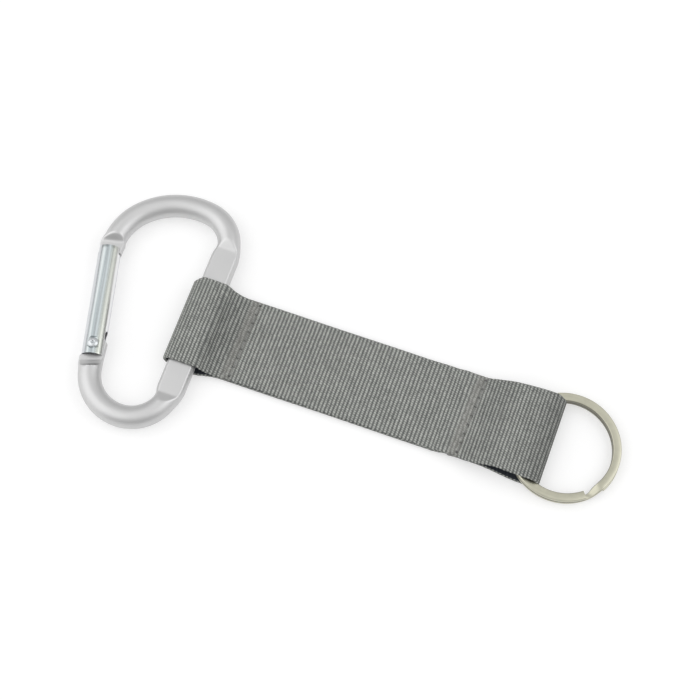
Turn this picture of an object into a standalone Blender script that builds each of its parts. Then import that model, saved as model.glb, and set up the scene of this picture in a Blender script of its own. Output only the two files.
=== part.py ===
"""Lanyard keychain: a snap carabiner and a split ring joined by a folded webbing strap.

The keychain lies on a table, z = 0. X runs along the strap from the carabiner to
the ring, Y runs across it, and Z is up. Lengths are written in millimetres and
turned into metres by MM.
"""
import math

import bmesh
import bpy
from mathutils import Matrix, Vector

MM = 0.001

# Webbing strip
WEBBING_WIDTH = 25.0 * MM
WEBBING_THICKNESS = 1.0 * MM
LAYER_GAP = 0.15 * MM
SEAM_SPACING = 67.7 * MM
OVERLAP_TAIL = 3.0 * MM

# Sewing
STITCHES = 8
SEAM_MARGIN = 1.2 * MM
THREAD_DIAMETER = 0.4 * MM
THREAD_CLEARANCE = 0.1 * MM
STITCH_DIP = 0.12 * MM

# Carabiner rod, measured on its centreline
ROD_DIAMETER = 6.6 * MM
BODY_HEIGHT = 66.3 * MM
CORNER_RADIUS = 10.5 * MM
CROWN_RADIUS = 21.5 * MM
CROWN_OFFSET = 12.3 * MM
NOSE_RADIUS = 16.5 * MM
NOSE_JOIN = math.radians(135.0)
HEEL_RADIUS = 11.1 * MM
FOOT_RADIUS = 12.9 * MM
NOSE_INSET = 0.4 * MM
NOSE_INSET_RUN = 30.0 * MM

# Pressed spine that carries the webbing
SPINE_WIDTH = 8.2 * MM
SPINE_SEAT_THICKNESS = 4.2 * MM
SPINE_SEAT_LENGTH = 46.7 * MM
SPINE_SEAT_RAMP = 2.7 * MM
SEAT_CLEARANCE = 0.2 * MM

# Gate, along its axis from the foot end of the gate line
LUG_CLEARANCE = 0.2 * MM
SLEEVE_START = 4.0 * MM
SLEEVE_LENGTH = 33.2 * MM
SLEEVE_DIAMETER = 6.3 * MM
SLEEVE_WALL = 0.5 * MM
SLEEVE_SEAM = 0.3 * MM
RIVET_TO_SLEEVE_END = 3.2 * MM
BLADE_THICKNESS = 2.8 * MM
SLOT_CLEARANCE = 0.25 * MM
NOSE_SLOT_DEPTH = 3.0 * MM
HINGE_SLOT_DEPTH = 8.4 * MM
TONGUE_REACH = 2.5 * MM
TONGUE_FLAT = 4.15 * MM
TONGUE_RAMP = 2.65 * MM
TONGUE_BULGE = 0.25 * MM
LUG_RAMP = 1.85 * MM
LUG_TOP = 1.8 * MM

# Rivet
RIVET_DIAMETER = 2.0 * MM
RIVET_CLEARANCE = 0.15 * MM
RIVET_HEAD_DIAMETER = 3.0 * MM
RIVET_HEAD_HEIGHT = 0.6 * MM
RIVET_SEAT_DEPTH = 0.2 * MM
RIVET_HEAD_GAP = 0.05 * MM

# Plunger and spring inside the sleeve
PLUNGER_CLEARANCE = 0.35 * MM
PLUNGER_FOOT = 1.0 * MM
PLUNGER_STEM = 2.2 * MM
PLUNGER_LENGTH = 6.0 * MM
PLUNGER_GAP = 0.15 * MM
SPRING_WIRE = 0.4 * MM
SPRING_LENGTH = 20.0 * MM
SPRING_COILS = 14
SPRING_CLEARANCE = 0.7 * MM
SPRING_STOP_DEPTH = 1.0 * MM

# Split ring
RING_SIDE_PLAY = 0.9 * MM
RING_WIRE_WIDTH = 2.4 * MM
RING_TURN_THICKNESS = 1.25 * MM
RING_TURN_GAP = 0.3 * MM
RING_EDGE_ROUND = 0.35 * MM
RING_START = math.radians(-49.0)
RING_JOG = math.radians(19.0)
RING_REST_GAP = 0.2 * MM
RING_FOLD_PLAY = 0.26 * MM
RING_FLEX_OFFSET = 6.0 * MM

# Loops of the strip round the spine and round the ring
SPINE_LOOP = 14.0 * MM
SPINE_FOLD_GAP = 0.86 * MM
SPINE_DROP_START = 3.6 * MM
RING_LOOP = 22.6 * MM
RING_LOOP_PLAY = 0.6 * MM
FOLD_CORNER_RADIUS = 0.8 * MM

# Bends where the strip changes its level
STEP_ANGLE = math.radians(20.0)
STEP_RADIUS = 3.0 * MM
STEP_STAGGER = 0.5 * MM
DROP_ANGLE = math.radians(60.0)
DROP_FIRST_RADIUS = 1.6 * MM
DROP_LAST_RADIUS = 7.0 * MM
RISE_ANGLE = math.radians(22.0)
RISE_RADIUS = 5.0 * MM
HUMP_RADIUS = 9.0 * MM

ROD_SIDES = 24
HOLE_SIDES = 24
ARC_STEP = math.radians(7.0)


def remove_scene_objects():
    for obj in list(bpy.data.objects):
        bpy.data.objects.remove(obj, do_unlink=True)


def finish(name, colour, roughness, metallic=1.0):
    """A Principled material with one colour, a metal unless told otherwise."""
    material = bpy.data.materials.new(name)
    material.use_nodes = True
    shader = material.node_tree.nodes["Principled BSDF"]
    shader.inputs["Base Color"].default_value = (*colour, 1.0)
    shader.inputs["Roughness"].default_value = roughness
    shader.inputs["Metallic"].default_value = metallic
    material.diffuse_color = (*colour, 1.0)
    return material


def link(name, data, parent=None, material=None):
    obj = bpy.data.objects.new(name, data)
    bpy.context.scene.collection.objects.link(obj)
    obj.parent = parent
    if material is not None:
        data.materials.append(material)
    return obj


def from_bmesh(name, shape, parent=None, material=None, smooth=True):
    """Turns a bmesh into an object, smooth but for its sharp edges."""
    bmesh.ops.recalc_face_normals(shape, faces=shape.faces)
    mesh = bpy.data.meshes.new(name)
    shape.to_mesh(mesh)
    shape.free()
    if smooth:
        mesh.shade_smooth()
        mesh.set_sharp_from_angle(angle=math.radians(35.0))
    return link(name, mesh, parent, material)


def loft(shape, sections):
    """Bridges equal rings of points into one skin, with a cap at each end."""
    rings = [[shape.verts.new(point) for point in section] for section in sections]
    count = len(rings[0])
    for first, second in zip(rings, rings[1:]):
        for i in range(count):
            j = (i + 1) % count
            shape.faces.new((first[i], first[j], second[j], second[i]))
    shape.faces.new(rings[0][::-1])
    shape.faces.new(rings[-1])


def prism(name, outline, low, high, parent, turn=None):
    """Extrudes an outline of (u, v) points along w from low to high.

    Without a turn, u, v and w are the parent's X, Y and Z.
    """
    shape = bmesh.new()
    base = [shape.verts.new((u, v, low)) for u, v in outline]
    face = shape.faces.new(base)
    made = bmesh.ops.extrude_face_region(shape, geom=[face])
    top = [item for item in made["geom"] if isinstance(item, bmesh.types.BMVert)]
    bmesh.ops.translate(shape, verts=top, vec=(0.0, 0.0, high - low))
    if turn is not None:
        bmesh.ops.transform(shape, matrix=turn, verts=shape.verts)
    return as_cutter(from_bmesh(name, shape, parent, smooth=False))


def cylinder(name, radius, low, high, parent):
    """A round cutter about the parent's Z."""
    outline = []
    for i in range(HOLE_SIDES):
        angle = 2 * math.pi * (i + 0.5) / HOLE_SIDES
        outline.append((radius * math.cos(angle), radius * math.sin(angle)))
    return prism(name, outline, low, high, parent)


def as_cutter(obj):
    obj.hide_render = True
    obj.display_type = "WIRE"
    return obj


def boolean(target, tool, operation="DIFFERENCE"):
    modifier = target.modifiers.new(tool.name, "BOOLEAN")
    modifier.operation = operation
    modifier.solver = "EXACT"
    modifier.object = tool


def lathe(profile, sides):
    """Spins a profile of (radius, height) points about Z into a closed solid."""
    shape = bmesh.new()
    verts = [shape.verts.new((radius, 0.0, height)) for radius, height in profile]
    edges = [shape.edges.new(pair) for pair in zip(verts, verts[1:])]
    bmesh.ops.spin(
        shape,
        geom=verts + edges,
        cent=(0.0, 0.0, 0.0),
        axis=(0.0, 0.0, 1.0),
        angle=2 * math.pi,
        steps=sides,
        use_merge=True,
    )
    bmesh.ops.remove_doubles(shape, verts=shape.verts, dist=1e-7)
    return shape


class Route:
    """A line through the middle of the strip, drawn in the XZ plane.

    It moves like a pen with a heading, where 0 points along +X.
    """

    def __init__(self, x, z, heading):
        self.x = x
        self.z = z
        self.heading = heading
        self.points = [(x, z, heading)]

    def keep(self):
        self.points.append((self.x, self.z, self.heading))

    def line(self, length):
        self.x += length * math.cos(self.heading)
        self.z += length * math.sin(self.heading)
        self.keep()

    def line_to_x(self, x):
        self.line((x - self.x) / math.cos(self.heading))

    def turn(self, angle, radius, step=ARC_STEP * 1.6):
        """Bends by an angle, to the left where the angle is positive."""
        side = math.copysign(1.0, angle)
        centre_x = self.x - side * radius * math.sin(self.heading)
        centre_z = self.z + side * radius * math.cos(self.heading)
        start = self.heading
        count = max(2, math.ceil(abs(angle) / step))
        for i in range(1, count + 1):
            self.heading = start + angle * i / count
            self.x = centre_x + side * radius * math.sin(self.heading)
            self.z = centre_z - side * radius * math.cos(self.heading)
            self.keep()

    def s_bend(self, rise, angle, first_radius, last_radius):
        """Shifts sideways by rise, to the left where it is positive."""
        side = math.copysign(1.0, rise)
        self.turn(side * angle, first_radius)
        self.line(s_bend_straight(rise, angle, first_radius, last_radius))
        self.turn(-side * angle, last_radius)


def s_bend_straight(rise, angle, first_radius, last_radius):
    curved = (first_radius + last_radius) * (1 - math.cos(angle))
    return (abs(rise) - curved) / math.sin(angle)


def s_bend_run(rise, angle, first_radius, last_radius):
    straight = s_bend_straight(rise, angle, first_radius, last_radius)
    curved = (first_radius + last_radius) * math.sin(angle)
    return curved + straight * math.cos(angle)


def carabiner_layout():
    """Centres and joins of the rod's arcs, with the spine's axis at x = 0."""
    top = BODY_HEIGHT / 2
    bottom = -BODY_HEIGHT / 2
    crown = Vector((-CROWN_OFFSET, top - CROWN_RADIUS))
    reach = CROWN_RADIUS - CORNER_RADIUS
    across = CROWN_OFFSET - CORNER_RADIUS
    corner = Vector((-CORNER_RADIUS, crown.y + math.sqrt(reach**2 - across**2)))
    corner_join = math.atan2(corner.y - crown.y, corner.x - crown.x)
    toward_nose = Vector((math.cos(NOSE_JOIN), math.sin(NOSE_JOIN)))
    nose = crown + toward_nose * (CROWN_RADIUS - NOSE_RADIUS)
    heel = Vector((-HEEL_RADIUS, bottom + HEEL_RADIUS))
    foot = Vector((-HEEL_RADIUS, bottom + FOOT_RADIUS))
    between = nose - foot
    slant = math.asin((NOSE_RADIUS - FOOT_RADIUS) / between.length)
    lean = math.atan2(-between.x, between.y) + slant
    along = Vector((-math.sin(lean), math.cos(lean)))
    inward = Vector((math.cos(lean), math.sin(lean)))
    return {
        "crown": crown,
        "corner": corner,
        "corner_join": corner_join,
        "nose": nose,
        "heel": heel,
        "foot": foot,
        "lean": lean,
        "along": along,
        "inward": inward,
        "gate_start": foot - inward * FOOT_RADIUS,
        "gate_end": nose - inward * NOSE_RADIUS,
    }


def arc_points(centre, radius, start, stop):
    """Points with headings along an arc that runs clockwise."""
    count = math.ceil(abs(stop - start) / ARC_STEP)
    found = []
    for i in range(count + 1):
        angle = start + (stop - start) * i / count
        outward = Vector((math.cos(angle), math.sin(angle)))
        found.append((centre + outward * radius, outward))
    return found


def smooth_share(value, low, high):
    share = min(1.0, max(0.0, (value - low) / (high - low)))
    return share * share * (3 - 2 * share)


def rod_stations(layout):
    """Every station of the rod from the tongue's tip round to the lug's top."""
    rod = ROD_DIAMETER / 2
    gate_length = (layout["gate_end"] - layout["gate_start"]).length
    sleeve_top = SLEEVE_START + SLEEVE_LENGTH
    outward = -layout["inward"]
    stations = []

    def gate_spot(distance):
        return layout["gate_start"] + layout["along"] * distance

    tip = sleeve_top - TONGUE_REACH
    nose_start = math.pi + layout["lean"]
    for past, share in ((0.0, 0.5), (0.06, 0.72), (0.2, 0.89), (0.42, 1.0)):
        distance = tip + past * rod
        bent = max(0.0, distance - gate_length) / NOSE_RADIUS
        spot = gate_spot(min(distance, gate_length))
        away = outward
        if bent:
            away = Vector((math.cos(nose_start - bent), math.sin(nose_start - bent)))
            spot = layout["nose"] + away * NOSE_RADIUS
        stations.append((spot, away, rod * share))
    if not bent:
        stations.append((gate_spot(gate_length), outward, rod))
    arcs = [
        (layout["nose"], NOSE_RADIUS, nose_start - bent, NOSE_JOIN),
        (layout["crown"], CROWN_RADIUS, NOSE_JOIN, layout["corner_join"]),
        (layout["corner"], CORNER_RADIUS, layout["corner_join"], 0.0),
        (layout["heel"], HEEL_RADIUS, 0.0, -math.pi / 2),
        (layout["foot"], FOOT_RADIUS, -math.pi / 2, layout["lean"] - math.pi),
    ]
    full = SPINE_SEAT_LENGTH / 2 - SPINE_SEAT_RAMP
    faded = SPINE_SEAT_LENGTH / 2 + SPINE_SEAT_RAMP
    for number, (centre, radius, start, stop) in enumerate(arcs):
        points = arc_points(centre, radius, start, stop)
        for spot, away in points[1:]:
            stations.append((spot, away, None))
        if number == 2:
            low = layout["heel"].y
            high = layout["corner"].y
            for i in range(1, 9):
                y = high + (low - high) * i / 9
                stations.append((Vector((0.0, y)), Vector((1.0, 0.0)), None))
    lug_end = SLEEVE_START + RIVET_TO_SLEEVE_END + LUG_TOP + 0.4 * MM
    for i in range(1, 5):
        stations.append((gate_spot(lug_end * i / 4), outward, rod))

    sized = []
    run = 0.0
    before = stations[0][0]
    for spot, away, half in stations:
        run += (spot - before).length
        before = spot
        if half is None:
            half = rod
            if spot.x > -HEEL_RADIUS * 0.6:
                spread = smooth_share(abs(spot.y), full, faded)
                half = SPINE_WIDTH / 2 + (rod - SPINE_WIDTH / 2) * spread
        bulge = 1 - smooth_share(run, TONGUE_FLAT, TONGUE_FLAT + TONGUE_RAMP)
        inset = 1 - smooth_share(run, 0.0, NOSE_INSET_RUN)
        spot = spot - away * (NOSE_INSET * inset)
        sized.append((spot, away, half + TONGUE_BULGE * bulge))
    clean = [sized[0]]
    for station in sized[1:]:
        if (station[0] - clean[-1][0]).length > 0.3 * MM:
            clean.append(station)
    return clean


def lug_reach():
    """How far the hinge lug fills the sleeve's bore, out from the rivet."""
    bore = SLEEVE_DIAMETER / 2 - SLEEVE_WALL
    return math.sqrt(bore**2 - (BLADE_THICKNESS / 2)**2) - LUG_CLEARANCE


def carabiner_body(layout, parent, gate_frame, material):
    """The bent rod with its pressed spine, its tongue and its hinge lug."""
    rod = ROD_DIAMETER / 2
    sections = []
    for spot, away, half in rod_stations(layout):
        section = []
        for i in range(ROD_SIDES):
            angle = 2 * math.pi * i / ROD_SIDES
            side = away * (half * math.cos(angle))
            section.append((spot.x + side.x, spot.y + side.y, rod * math.sin(angle)))
        sections.append(section)
    shape = bmesh.new()
    loft(shape, sections)
    body = from_bmesh("carabiner_body", shape, parent, material)

    far = ROD_DIAMETER
    seat = SPINE_SEAT_THICKNESS / 2
    run = SPINE_SEAT_RAMP * (far - seat) / (rod - seat)
    half = SPINE_SEAT_LENGTH / 2
    reach = SPINE_WIDTH
    upright = Matrix(((0, 0, 1, 0), (1, 0, 0, 0), (0, 1, 0, 0), (0, 0, 0, 1)))
    for name, sign in (("spine_seat_top", 1), ("spine_seat_bottom", -1)):
        outline = [
            (-half, sign * seat),
            (half, sign * seat),
            (half + run, sign * far),
            (-half - run, sign * far),
        ]
        boolean(body, prism(name, outline, -reach, reach, parent, upright))

    blade = BLADE_THICKNESS / 2
    flat_top = SLEEVE_LENGTH - RIVET_TO_SLEEVE_END - TONGUE_REACH + TONGUE_FLAT
    ramp_top = TONGUE_RAMP * (far - blade) / (rod - blade)
    flat_foot = -RIVET_TO_SLEEVE_END - SLEEVE_START + LUG_RAMP + 0.4 * MM
    ramp_foot = LUG_RAMP * (far - blade) / (rod - blade)
    lug_clear = LUG_TOP + rod
    tongue_clear = flat_top - TONGUE_FLAT - rod
    for name, sign in (("blade_top", 1), ("blade_bottom", -1)):
        outline = [
            (tongue_clear, sign * blade),
            (flat_top, sign * blade),
            (flat_top + ramp_top, sign * far),
            (tongue_clear, sign * far),
        ]
        boolean(body, prism("tongue_" + name, outline, -far, far, gate_frame, upright))
        outline = [
            (lug_clear, sign * blade),
            (flat_foot, sign * blade),
            (flat_foot - ramp_foot, sign * far),
            (lug_clear, sign * far),
        ]
        boolean(body, prism("lug_" + name, outline, -far, far, gate_frame, upright))

    reach = lug_reach()
    shoulder = -RIVET_TO_SLEEVE_END - LUG_CLEARANCE
    outline = [(-far, shoulder), (-reach, shoulder)]
    stop = math.pi - math.asin(LUG_TOP / reach)
    for i in range(9):
        angle = math.pi + (stop - math.pi) * i / 8
        outline.append((reach * math.cos(angle), reach * math.sin(angle)))
    outline += [(far, LUG_TOP), (far, LUG_TOP + far), (-far, LUG_TOP + far)]
    boolean(body, prism("lug_outline", outline, -far, far, gate_frame))
    hole = RIVET_DIAMETER / 2 + RIVET_CLEARANCE
    boolean(body, cylinder("lug_hole", hole, -far, far, gate_frame))


def gate_sleeve(parent, material):
    """A tube rolled from sheet, slotted at both ends, with a pressed spring stop."""
    outer = SLEEVE_DIAMETER / 2
    inner = outer - SLEEVE_WALL
    bottom = -RIVET_TO_SLEEVE_END
    top = bottom + SLEEVE_LENGTH
    sides = 36
    opening = math.asin(SLEEVE_SEAM / 2 / outer)
    angles = [
        opening + (2 * math.pi - 2 * opening) * i / sides for i in range(sides + 1)
    ]
    ring = [(outer * math.cos(a), outer * math.sin(a)) for a in angles]
    ring += [(inner * math.cos(a), inner * math.sin(a)) for a in reversed(angles)]
    lower = [(n, bottom, z) for n, z in ring]
    upper = [(n, top, z) for n, z in ring]
    shape = bmesh.new()
    rings = [[shape.verts.new(p) for p in section] for section in (lower, upper)]
    count = len(ring)
    for i in range(count):
        j = (i + 1) % count
        shape.faces.new((rings[0][i], rings[0][j], rings[1][j], rings[1][i]))
    for level in rings:
        for i in range(sides):
            j = count - 1 - i
            shape.faces.new((level[i], level[i + 1], level[j - 1], level[j]))
    sleeve = from_bmesh("gate_sleeve", shape, parent, material)

    slot = BLADE_THICKNESS / 2 + SLOT_CLEARANCE
    reach = 2 * outer
    floor = top - NOSE_SLOT_DEPTH
    corner = slot * 0.45
    outline = [
        (slot, top + outer),
        (-slot, top + outer),
        (-slot, floor + corner),
        (-slot + corner, floor),
        (slot - corner, floor),
        (slot, floor + corner),
    ]
    across = Matrix(((0, 0, 1, 0), (0, 1, 0, 0), (1, 0, 0, 0), (0, 0, 0, 1)))
    boolean(sleeve, prism("nose_slot", outline, -reach, reach, parent, across))
    head = bottom + HINGE_SLOT_DEPTH
    outline = [
        (-slot, bottom - outer),
        (slot, bottom - outer),
        (slot, head - corner),
        (slot - corner, head),
        (-slot + corner, head),
        (-slot, head - corner),
    ]
    boolean(sleeve, prism("hinge_slot", outline, 0.0, reach, parent, across))
    hole = RIVET_DIAMETER / 2 + RIVET_CLEARANCE
    boolean(sleeve, cylinder("rivet_hole", hole, -reach, reach, parent))
    seat = outer - RIVET_SEAT_DEPTH
    wide = RIVET_HEAD_DIAMETER / 2 + RIVET_CLEARANCE
    boolean(sleeve, cylinder("rivet_seat_top", wide, seat, reach, parent))
    boolean(sleeve, cylinder("rivet_seat_bottom", wide, -reach, -seat, parent))
    return sleeve


def spring_stop(sleeve, parent, height):
    """The dimple, pressed in through the sleeve's outer side."""
    outer = SLEEVE_DIAMETER / 2
    inner = outer - SLEEVE_WALL
    reach = SPRING_STOP_DEPTH
    profile = [
        (0.0, inner - reach),
        (0.7 * MM, inner - reach),
        (0.7 * MM + reach * 0.6, inner - 0.1 * MM),
        (0.7 * MM + reach * 0.6, inner + SLEEVE_WALL / 2),
        (0.0, inner + SLEEVE_WALL / 2),
    ]
    hollow = [
        (0.0, inner - reach + SLEEVE_WALL),
        (0.35 * MM, inner - reach + SLEEVE_WALL),
        (0.35 * MM + reach * 0.8, outer + 0.3 * MM),
        (0.0, outer + 0.3 * MM),
    ]
    outward = Matrix.Rotation(math.radians(-90.0), 4, "Y")
    for name, line, operation in (
        ("spring_stop_boss", profile, "UNION"),
        ("spring_stop_dent", hollow, "DIFFERENCE"),
    ):
        shape = lathe(line, 12)
        bmesh.ops.transform(shape, matrix=outward, verts=shape.verts)
        tool = as_cutter(from_bmesh(name, shape, parent, smooth=False))
        tool.location = (0.0, height, 0.0)
        boolean(sleeve, tool, operation)


def gate_rivet(parent, material):
    """A shank between two domed heads that sit in the sleeve's flat seats."""
    shank = RIVET_DIAMETER / 2
    head = RIVET_HEAD_DIAMETER / 2
    seat = SLEEVE_DIAMETER / 2 - RIVET_SEAT_DEPTH + RIVET_HEAD_GAP
    rim = seat + RIVET_HEAD_HEIGHT * 0.35
    top = seat + RIVET_HEAD_HEIGHT
    upper = [(shank, seat), (head, seat), (head, rim), (head * 0.86, rim + (top - rim) * 0.5)]
    upper += [(head * 0.5, rim + (top - rim) * 0.88), (0.0, top)]
    lower = [(radius, -height) for radius, height in reversed(upper)]
    return from_bmesh("gate_rivet", lathe(lower + upper, 24), parent, material)


def plunger_rest():
    """Height of the plunger's underside over the rivet, with the gate shut."""
    return LUG_TOP + PLUNGER_GAP


def gate_plunger(parent, material):
    """A mushroom that the spring holds down on the lug's flat top."""
    foot = SLEEVE_DIAMETER / 2 - SLEEVE_WALL - PLUNGER_CLEARANCE
    stem = PLUNGER_STEM / 2
    chamfer = 0.2 * MM
    profile = [
        (0.0, 0.0),
        (foot - chamfer, 0.0),
        (foot, chamfer),
        (foot, PLUNGER_FOOT),
        (stem, PLUNGER_FOOT),
        (stem, PLUNGER_LENGTH - chamfer),
        (stem - chamfer, PLUNGER_LENGTH),
        (0.0, PLUNGER_LENGTH),
    ]
    shape = lathe(profile, 20)
    upright = Matrix.Rotation(math.radians(-90.0), 4, "X")
    bmesh.ops.transform(shape, matrix=upright, verts=shape.verts)
    return from_bmesh("gate_plunger", shape, parent, material)


def gate_spring(parent, material):
    """One wire wound into a helix over the plunger's stem. Returns its upper end."""
    inner = SLEEVE_DIAMETER / 2 - SLEEVE_WALL
    radius = inner - SPRING_CLEARANCE - SPRING_WIRE / 2
    start = plunger_rest() + PLUNGER_FOOT + 0.1 * MM + SPRING_WIRE / 2
    length = SPRING_LENGTH - SPRING_WIRE
    per_coil = 8
    count = SPRING_COILS * per_coil
    curve = bpy.data.curves.new("gate_spring", "CURVE")
    curve.dimensions = "3D"
    curve.bevel_depth = SPRING_WIRE / 2
    curve.bevel_resolution = 1
    curve.use_fill_caps = True
    spline = curve.splines.new("POLY")
    spline.points.add(count)
    points = []
    for i in range(count + 1):
        angle = 2 * math.pi * i / per_coil
        height = start + length * i / count
        points.append((radius * math.cos(angle), height, radius * math.sin(angle)))
        spline.points[i].co = (*points[-1], 1.0)
    print("spring: least gap between coils, mm:", round(coil_gap(points, per_coil), 2))
    link("gate_spring", curve, parent, material)
    return start + length + SPRING_WIRE / 2


def coil_gap(points, per_coil):
    """The least distance between one coil's wire and the next one's."""
    least = 1.0
    for i, first in enumerate(points):
        for second in points[i + per_coil // 2 + 1:]:
            least = min(least, (Vector(first) - Vector(second)).length)
    return (least - SPRING_WIRE) / MM


def strip_levels(ring):
    """Heights of the strip's middle line where its layers lie on each other."""
    half = WEBBING_THICKNESS / 2
    pitch = WEBBING_THICKNESS + LAYER_GAP
    over_spine = 2 * SEAT_CLEARANCE + SPINE_SEAT_THICKNESS + WEBBING_THICKNESS
    return {
        "first": half,
        "second": half + pitch,
        "third": half + 2 * pitch,
        "over_spine": half + over_spine,
        "hump": ring["left_top"] + RING_LOOP_PLAY + half,
    }


def along_strap():
    """Places along the strap, measured from the spine's axis."""
    ring_seam = SPINE_LOOP + SEAM_SPACING
    fold = ring_seam + RING_LOOP
    inner = ring_inner_radius()
    inset = math.sqrt(inner**2 - (WEBBING_WIDTH / 2)**2)
    return {
        "spine_seam": SPINE_LOOP,
        "ring_seam": ring_seam,
        "fold": fold,
        "ring_centre": fold - RING_FOLD_PLAY + inset,
        "flex": ring_seam + RING_FLEX_OFFSET,
    }


def ring_inner_radius():
    return WEBBING_WIDTH / 2 + RING_SIDE_PLAY


def ring_height():
    return 2 * RING_TURN_THICKNESS + RING_TURN_GAP


def ring_pose(places):
    """How the ring leans: one side on the webbing, the other on the table."""
    outer = ring_inner_radius() + RING_WIRE_WIDTH
    rest = WEBBING_THICKNESS + RING_REST_GAP
    span = outer + places["ring_centre"] - places["fold"] + RING_FOLD_PLAY
    tilt = math.asin(rest / span)
    pivot = places["ring_centre"] + outer * math.cos(tilt)
    left_top = 2 * outer * math.sin(tilt) + ring_height() * math.cos(tilt)
    edge = RING_EDGE_ROUND
    lean = (ring_height() - edge) * math.sin(tilt) - edge * math.cos(tilt) + edge
    return {
        "outer": outer,
        "tilt": tilt,
        "pivot": pivot,
        "left_top": left_top,
        "right_end": pivot + lean,
    }


def fold_line(first_centre, first_radius, last_centre, last_radius):
    """Heading and length of the line that leaves one bend and meets the next."""
    gap = Vector(last_centre) - Vector(first_centre)
    step = last_radius - first_radius
    length = math.sqrt(gap.length_squared - step**2)
    heading = math.atan2(gap.y, gap.x) + math.atan2(step, length)
    return heading, length


def strip_route(places, levels):
    """The strip's whole way, from its end over the overlap to its end beneath.

    It starts inside the ring seam, runs back under the strap to the carabiner,
    round the spine, along the top, round the ring and under the seam again.
    """
    half = WEBBING_THICKNESS / 2
    pitch = WEBBING_THICKNESS + LAYER_GAP
    step_run = s_bend_run(pitch, STEP_ANGLE, STEP_RADIUS, STEP_RADIUS)
    step_end = places["ring_seam"] - OVERLAP_TAIL - LAYER_GAP * 2
    route = Route(places["ring_seam"] + OVERLAP_TAIL, levels["second"], math.pi)
    route.line_to_x(places["ring_seam"])
    route.line_to_x(step_end)
    route.s_bend(pitch, STEP_ANGLE, STEP_RADIUS, STEP_RADIUS)
    route.line_to_x(places["spine_seam"])
    fold_radius = (levels["over_spine"] - levels["first"]) / 2
    fold_centre = -SPINE_WIDTH / 2 - SPINE_FOLD_GAP + fold_radius - half
    route.line_to_x(fold_centre)
    route.turn(-math.pi, fold_radius)
    route.line_to_x(SPINE_DROP_START)
    drop = levels["over_spine"] - levels["second"]
    route.s_bend(-drop, DROP_ANGLE, DROP_FIRST_RADIUS, DROP_LAST_RADIUS)
    route.line_to_x(places["spine_seam"])
    route.line_to_x(step_end - STEP_STAGGER - step_run)
    route.s_bend(pitch, STEP_ANGLE, STEP_RADIUS, STEP_RADIUS)
    route.line_to_x(places["ring_seam"])
    route.line_to_x(places["ring_seam"] + THREAD_DIAMETER)
    rise = levels["hump"] - levels["third"]
    route.turn(RISE_ANGLE, RISE_RADIUS, ARC_STEP)
    route.line(s_bend_straight(rise, RISE_ANGLE, RISE_RADIUS, HUMP_RADIUS))
    route.turn(-RISE_ANGLE, HUMP_RADIUS, ARC_STEP)

    corner = FOLD_CORNER_RADIUS + half
    inner_height = RING_REST_GAP + ring_height() + RING_LOOP_PLAY
    top_corner = (
        places["fold"] - FOLD_CORNER_RADIUS,
        WEBBING_THICKNESS + inner_height - FOLD_CORNER_RADIUS,
    )
    hump_centre = (route.x, route.z - HUMP_RADIUS)
    heading, length = fold_line(hump_centre, HUMP_RADIUS, top_corner, corner)
    route.turn(heading, HUMP_RADIUS, ARC_STEP)
    route.line(length)
    route.turn(-math.pi / 2 - heading, corner, ARC_STEP * 2)
    route.line(route.z - levels["first"] - corner)
    route.turn(-math.pi / 2, corner, ARC_STEP * 2)
    route.line_to_x(places["ring_seam"])
    route.line_to_x(places["ring_seam"] - OVERLAP_TAIL)
    return route.points


def strap_webbing(places, levels, parent, material):
    """The strip, as one band swept along its route."""
    half = WEBBING_THICKNESS / 2
    side = WEBBING_WIDTH / 2
    sections = []
    for x, z, heading in strip_route(places, levels):
        across_x = -half * math.sin(heading)
        across_z = half * math.cos(heading)
        sections.append([
            (x + across_x, -side, z + across_z),
            (x + across_x, side, z + across_z),
            (x - across_x, side, z - across_z),
            (x - across_x, -side, z - across_z),
        ])
    shape = bmesh.new()
    loft(shape, sections)
    return from_bmesh("strap_webbing", shape, parent, material)


def stitch_places():
    """Needle holes across the strap."""
    first = -WEBBING_WIDTH / 2 + SEAM_MARGIN
    pitch = (WEBBING_WIDTH - 2 * SEAM_MARGIN) / STITCHES
    return [first + pitch * i for i in range(STITCHES + 1)], pitch


def thread_run(name, x, level, dip, parent, material=None):
    """One thread along a seam, which dips into the webbing at each hole."""
    holes, pitch = stitch_places()
    spots = []
    for y in holes[:-1]:
        spots.append((y, dip))
        spots.append((y + pitch * 0.28, 0.0))
        spots.append((y + pitch * 0.72, 0.0))
    spots.append((holes[-1], dip))
    radius = THREAD_DIAMETER / 2
    spots.insert(0, (holes[0] - radius, dip))
    spots.append((holes[-1] + radius, dip))
    sections = []
    for y, down in spots:
        section = []
        for i in range(6):
            angle = 2 * math.pi * i / 6
            section.append((
                x + radius * math.cos(angle),
                y,
                level + down + radius * math.sin(angle),
            ))
        sections.append(section)
    shape = bmesh.new()
    loft(shape, sections)
    return from_bmesh(name, shape, parent, material)


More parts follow.
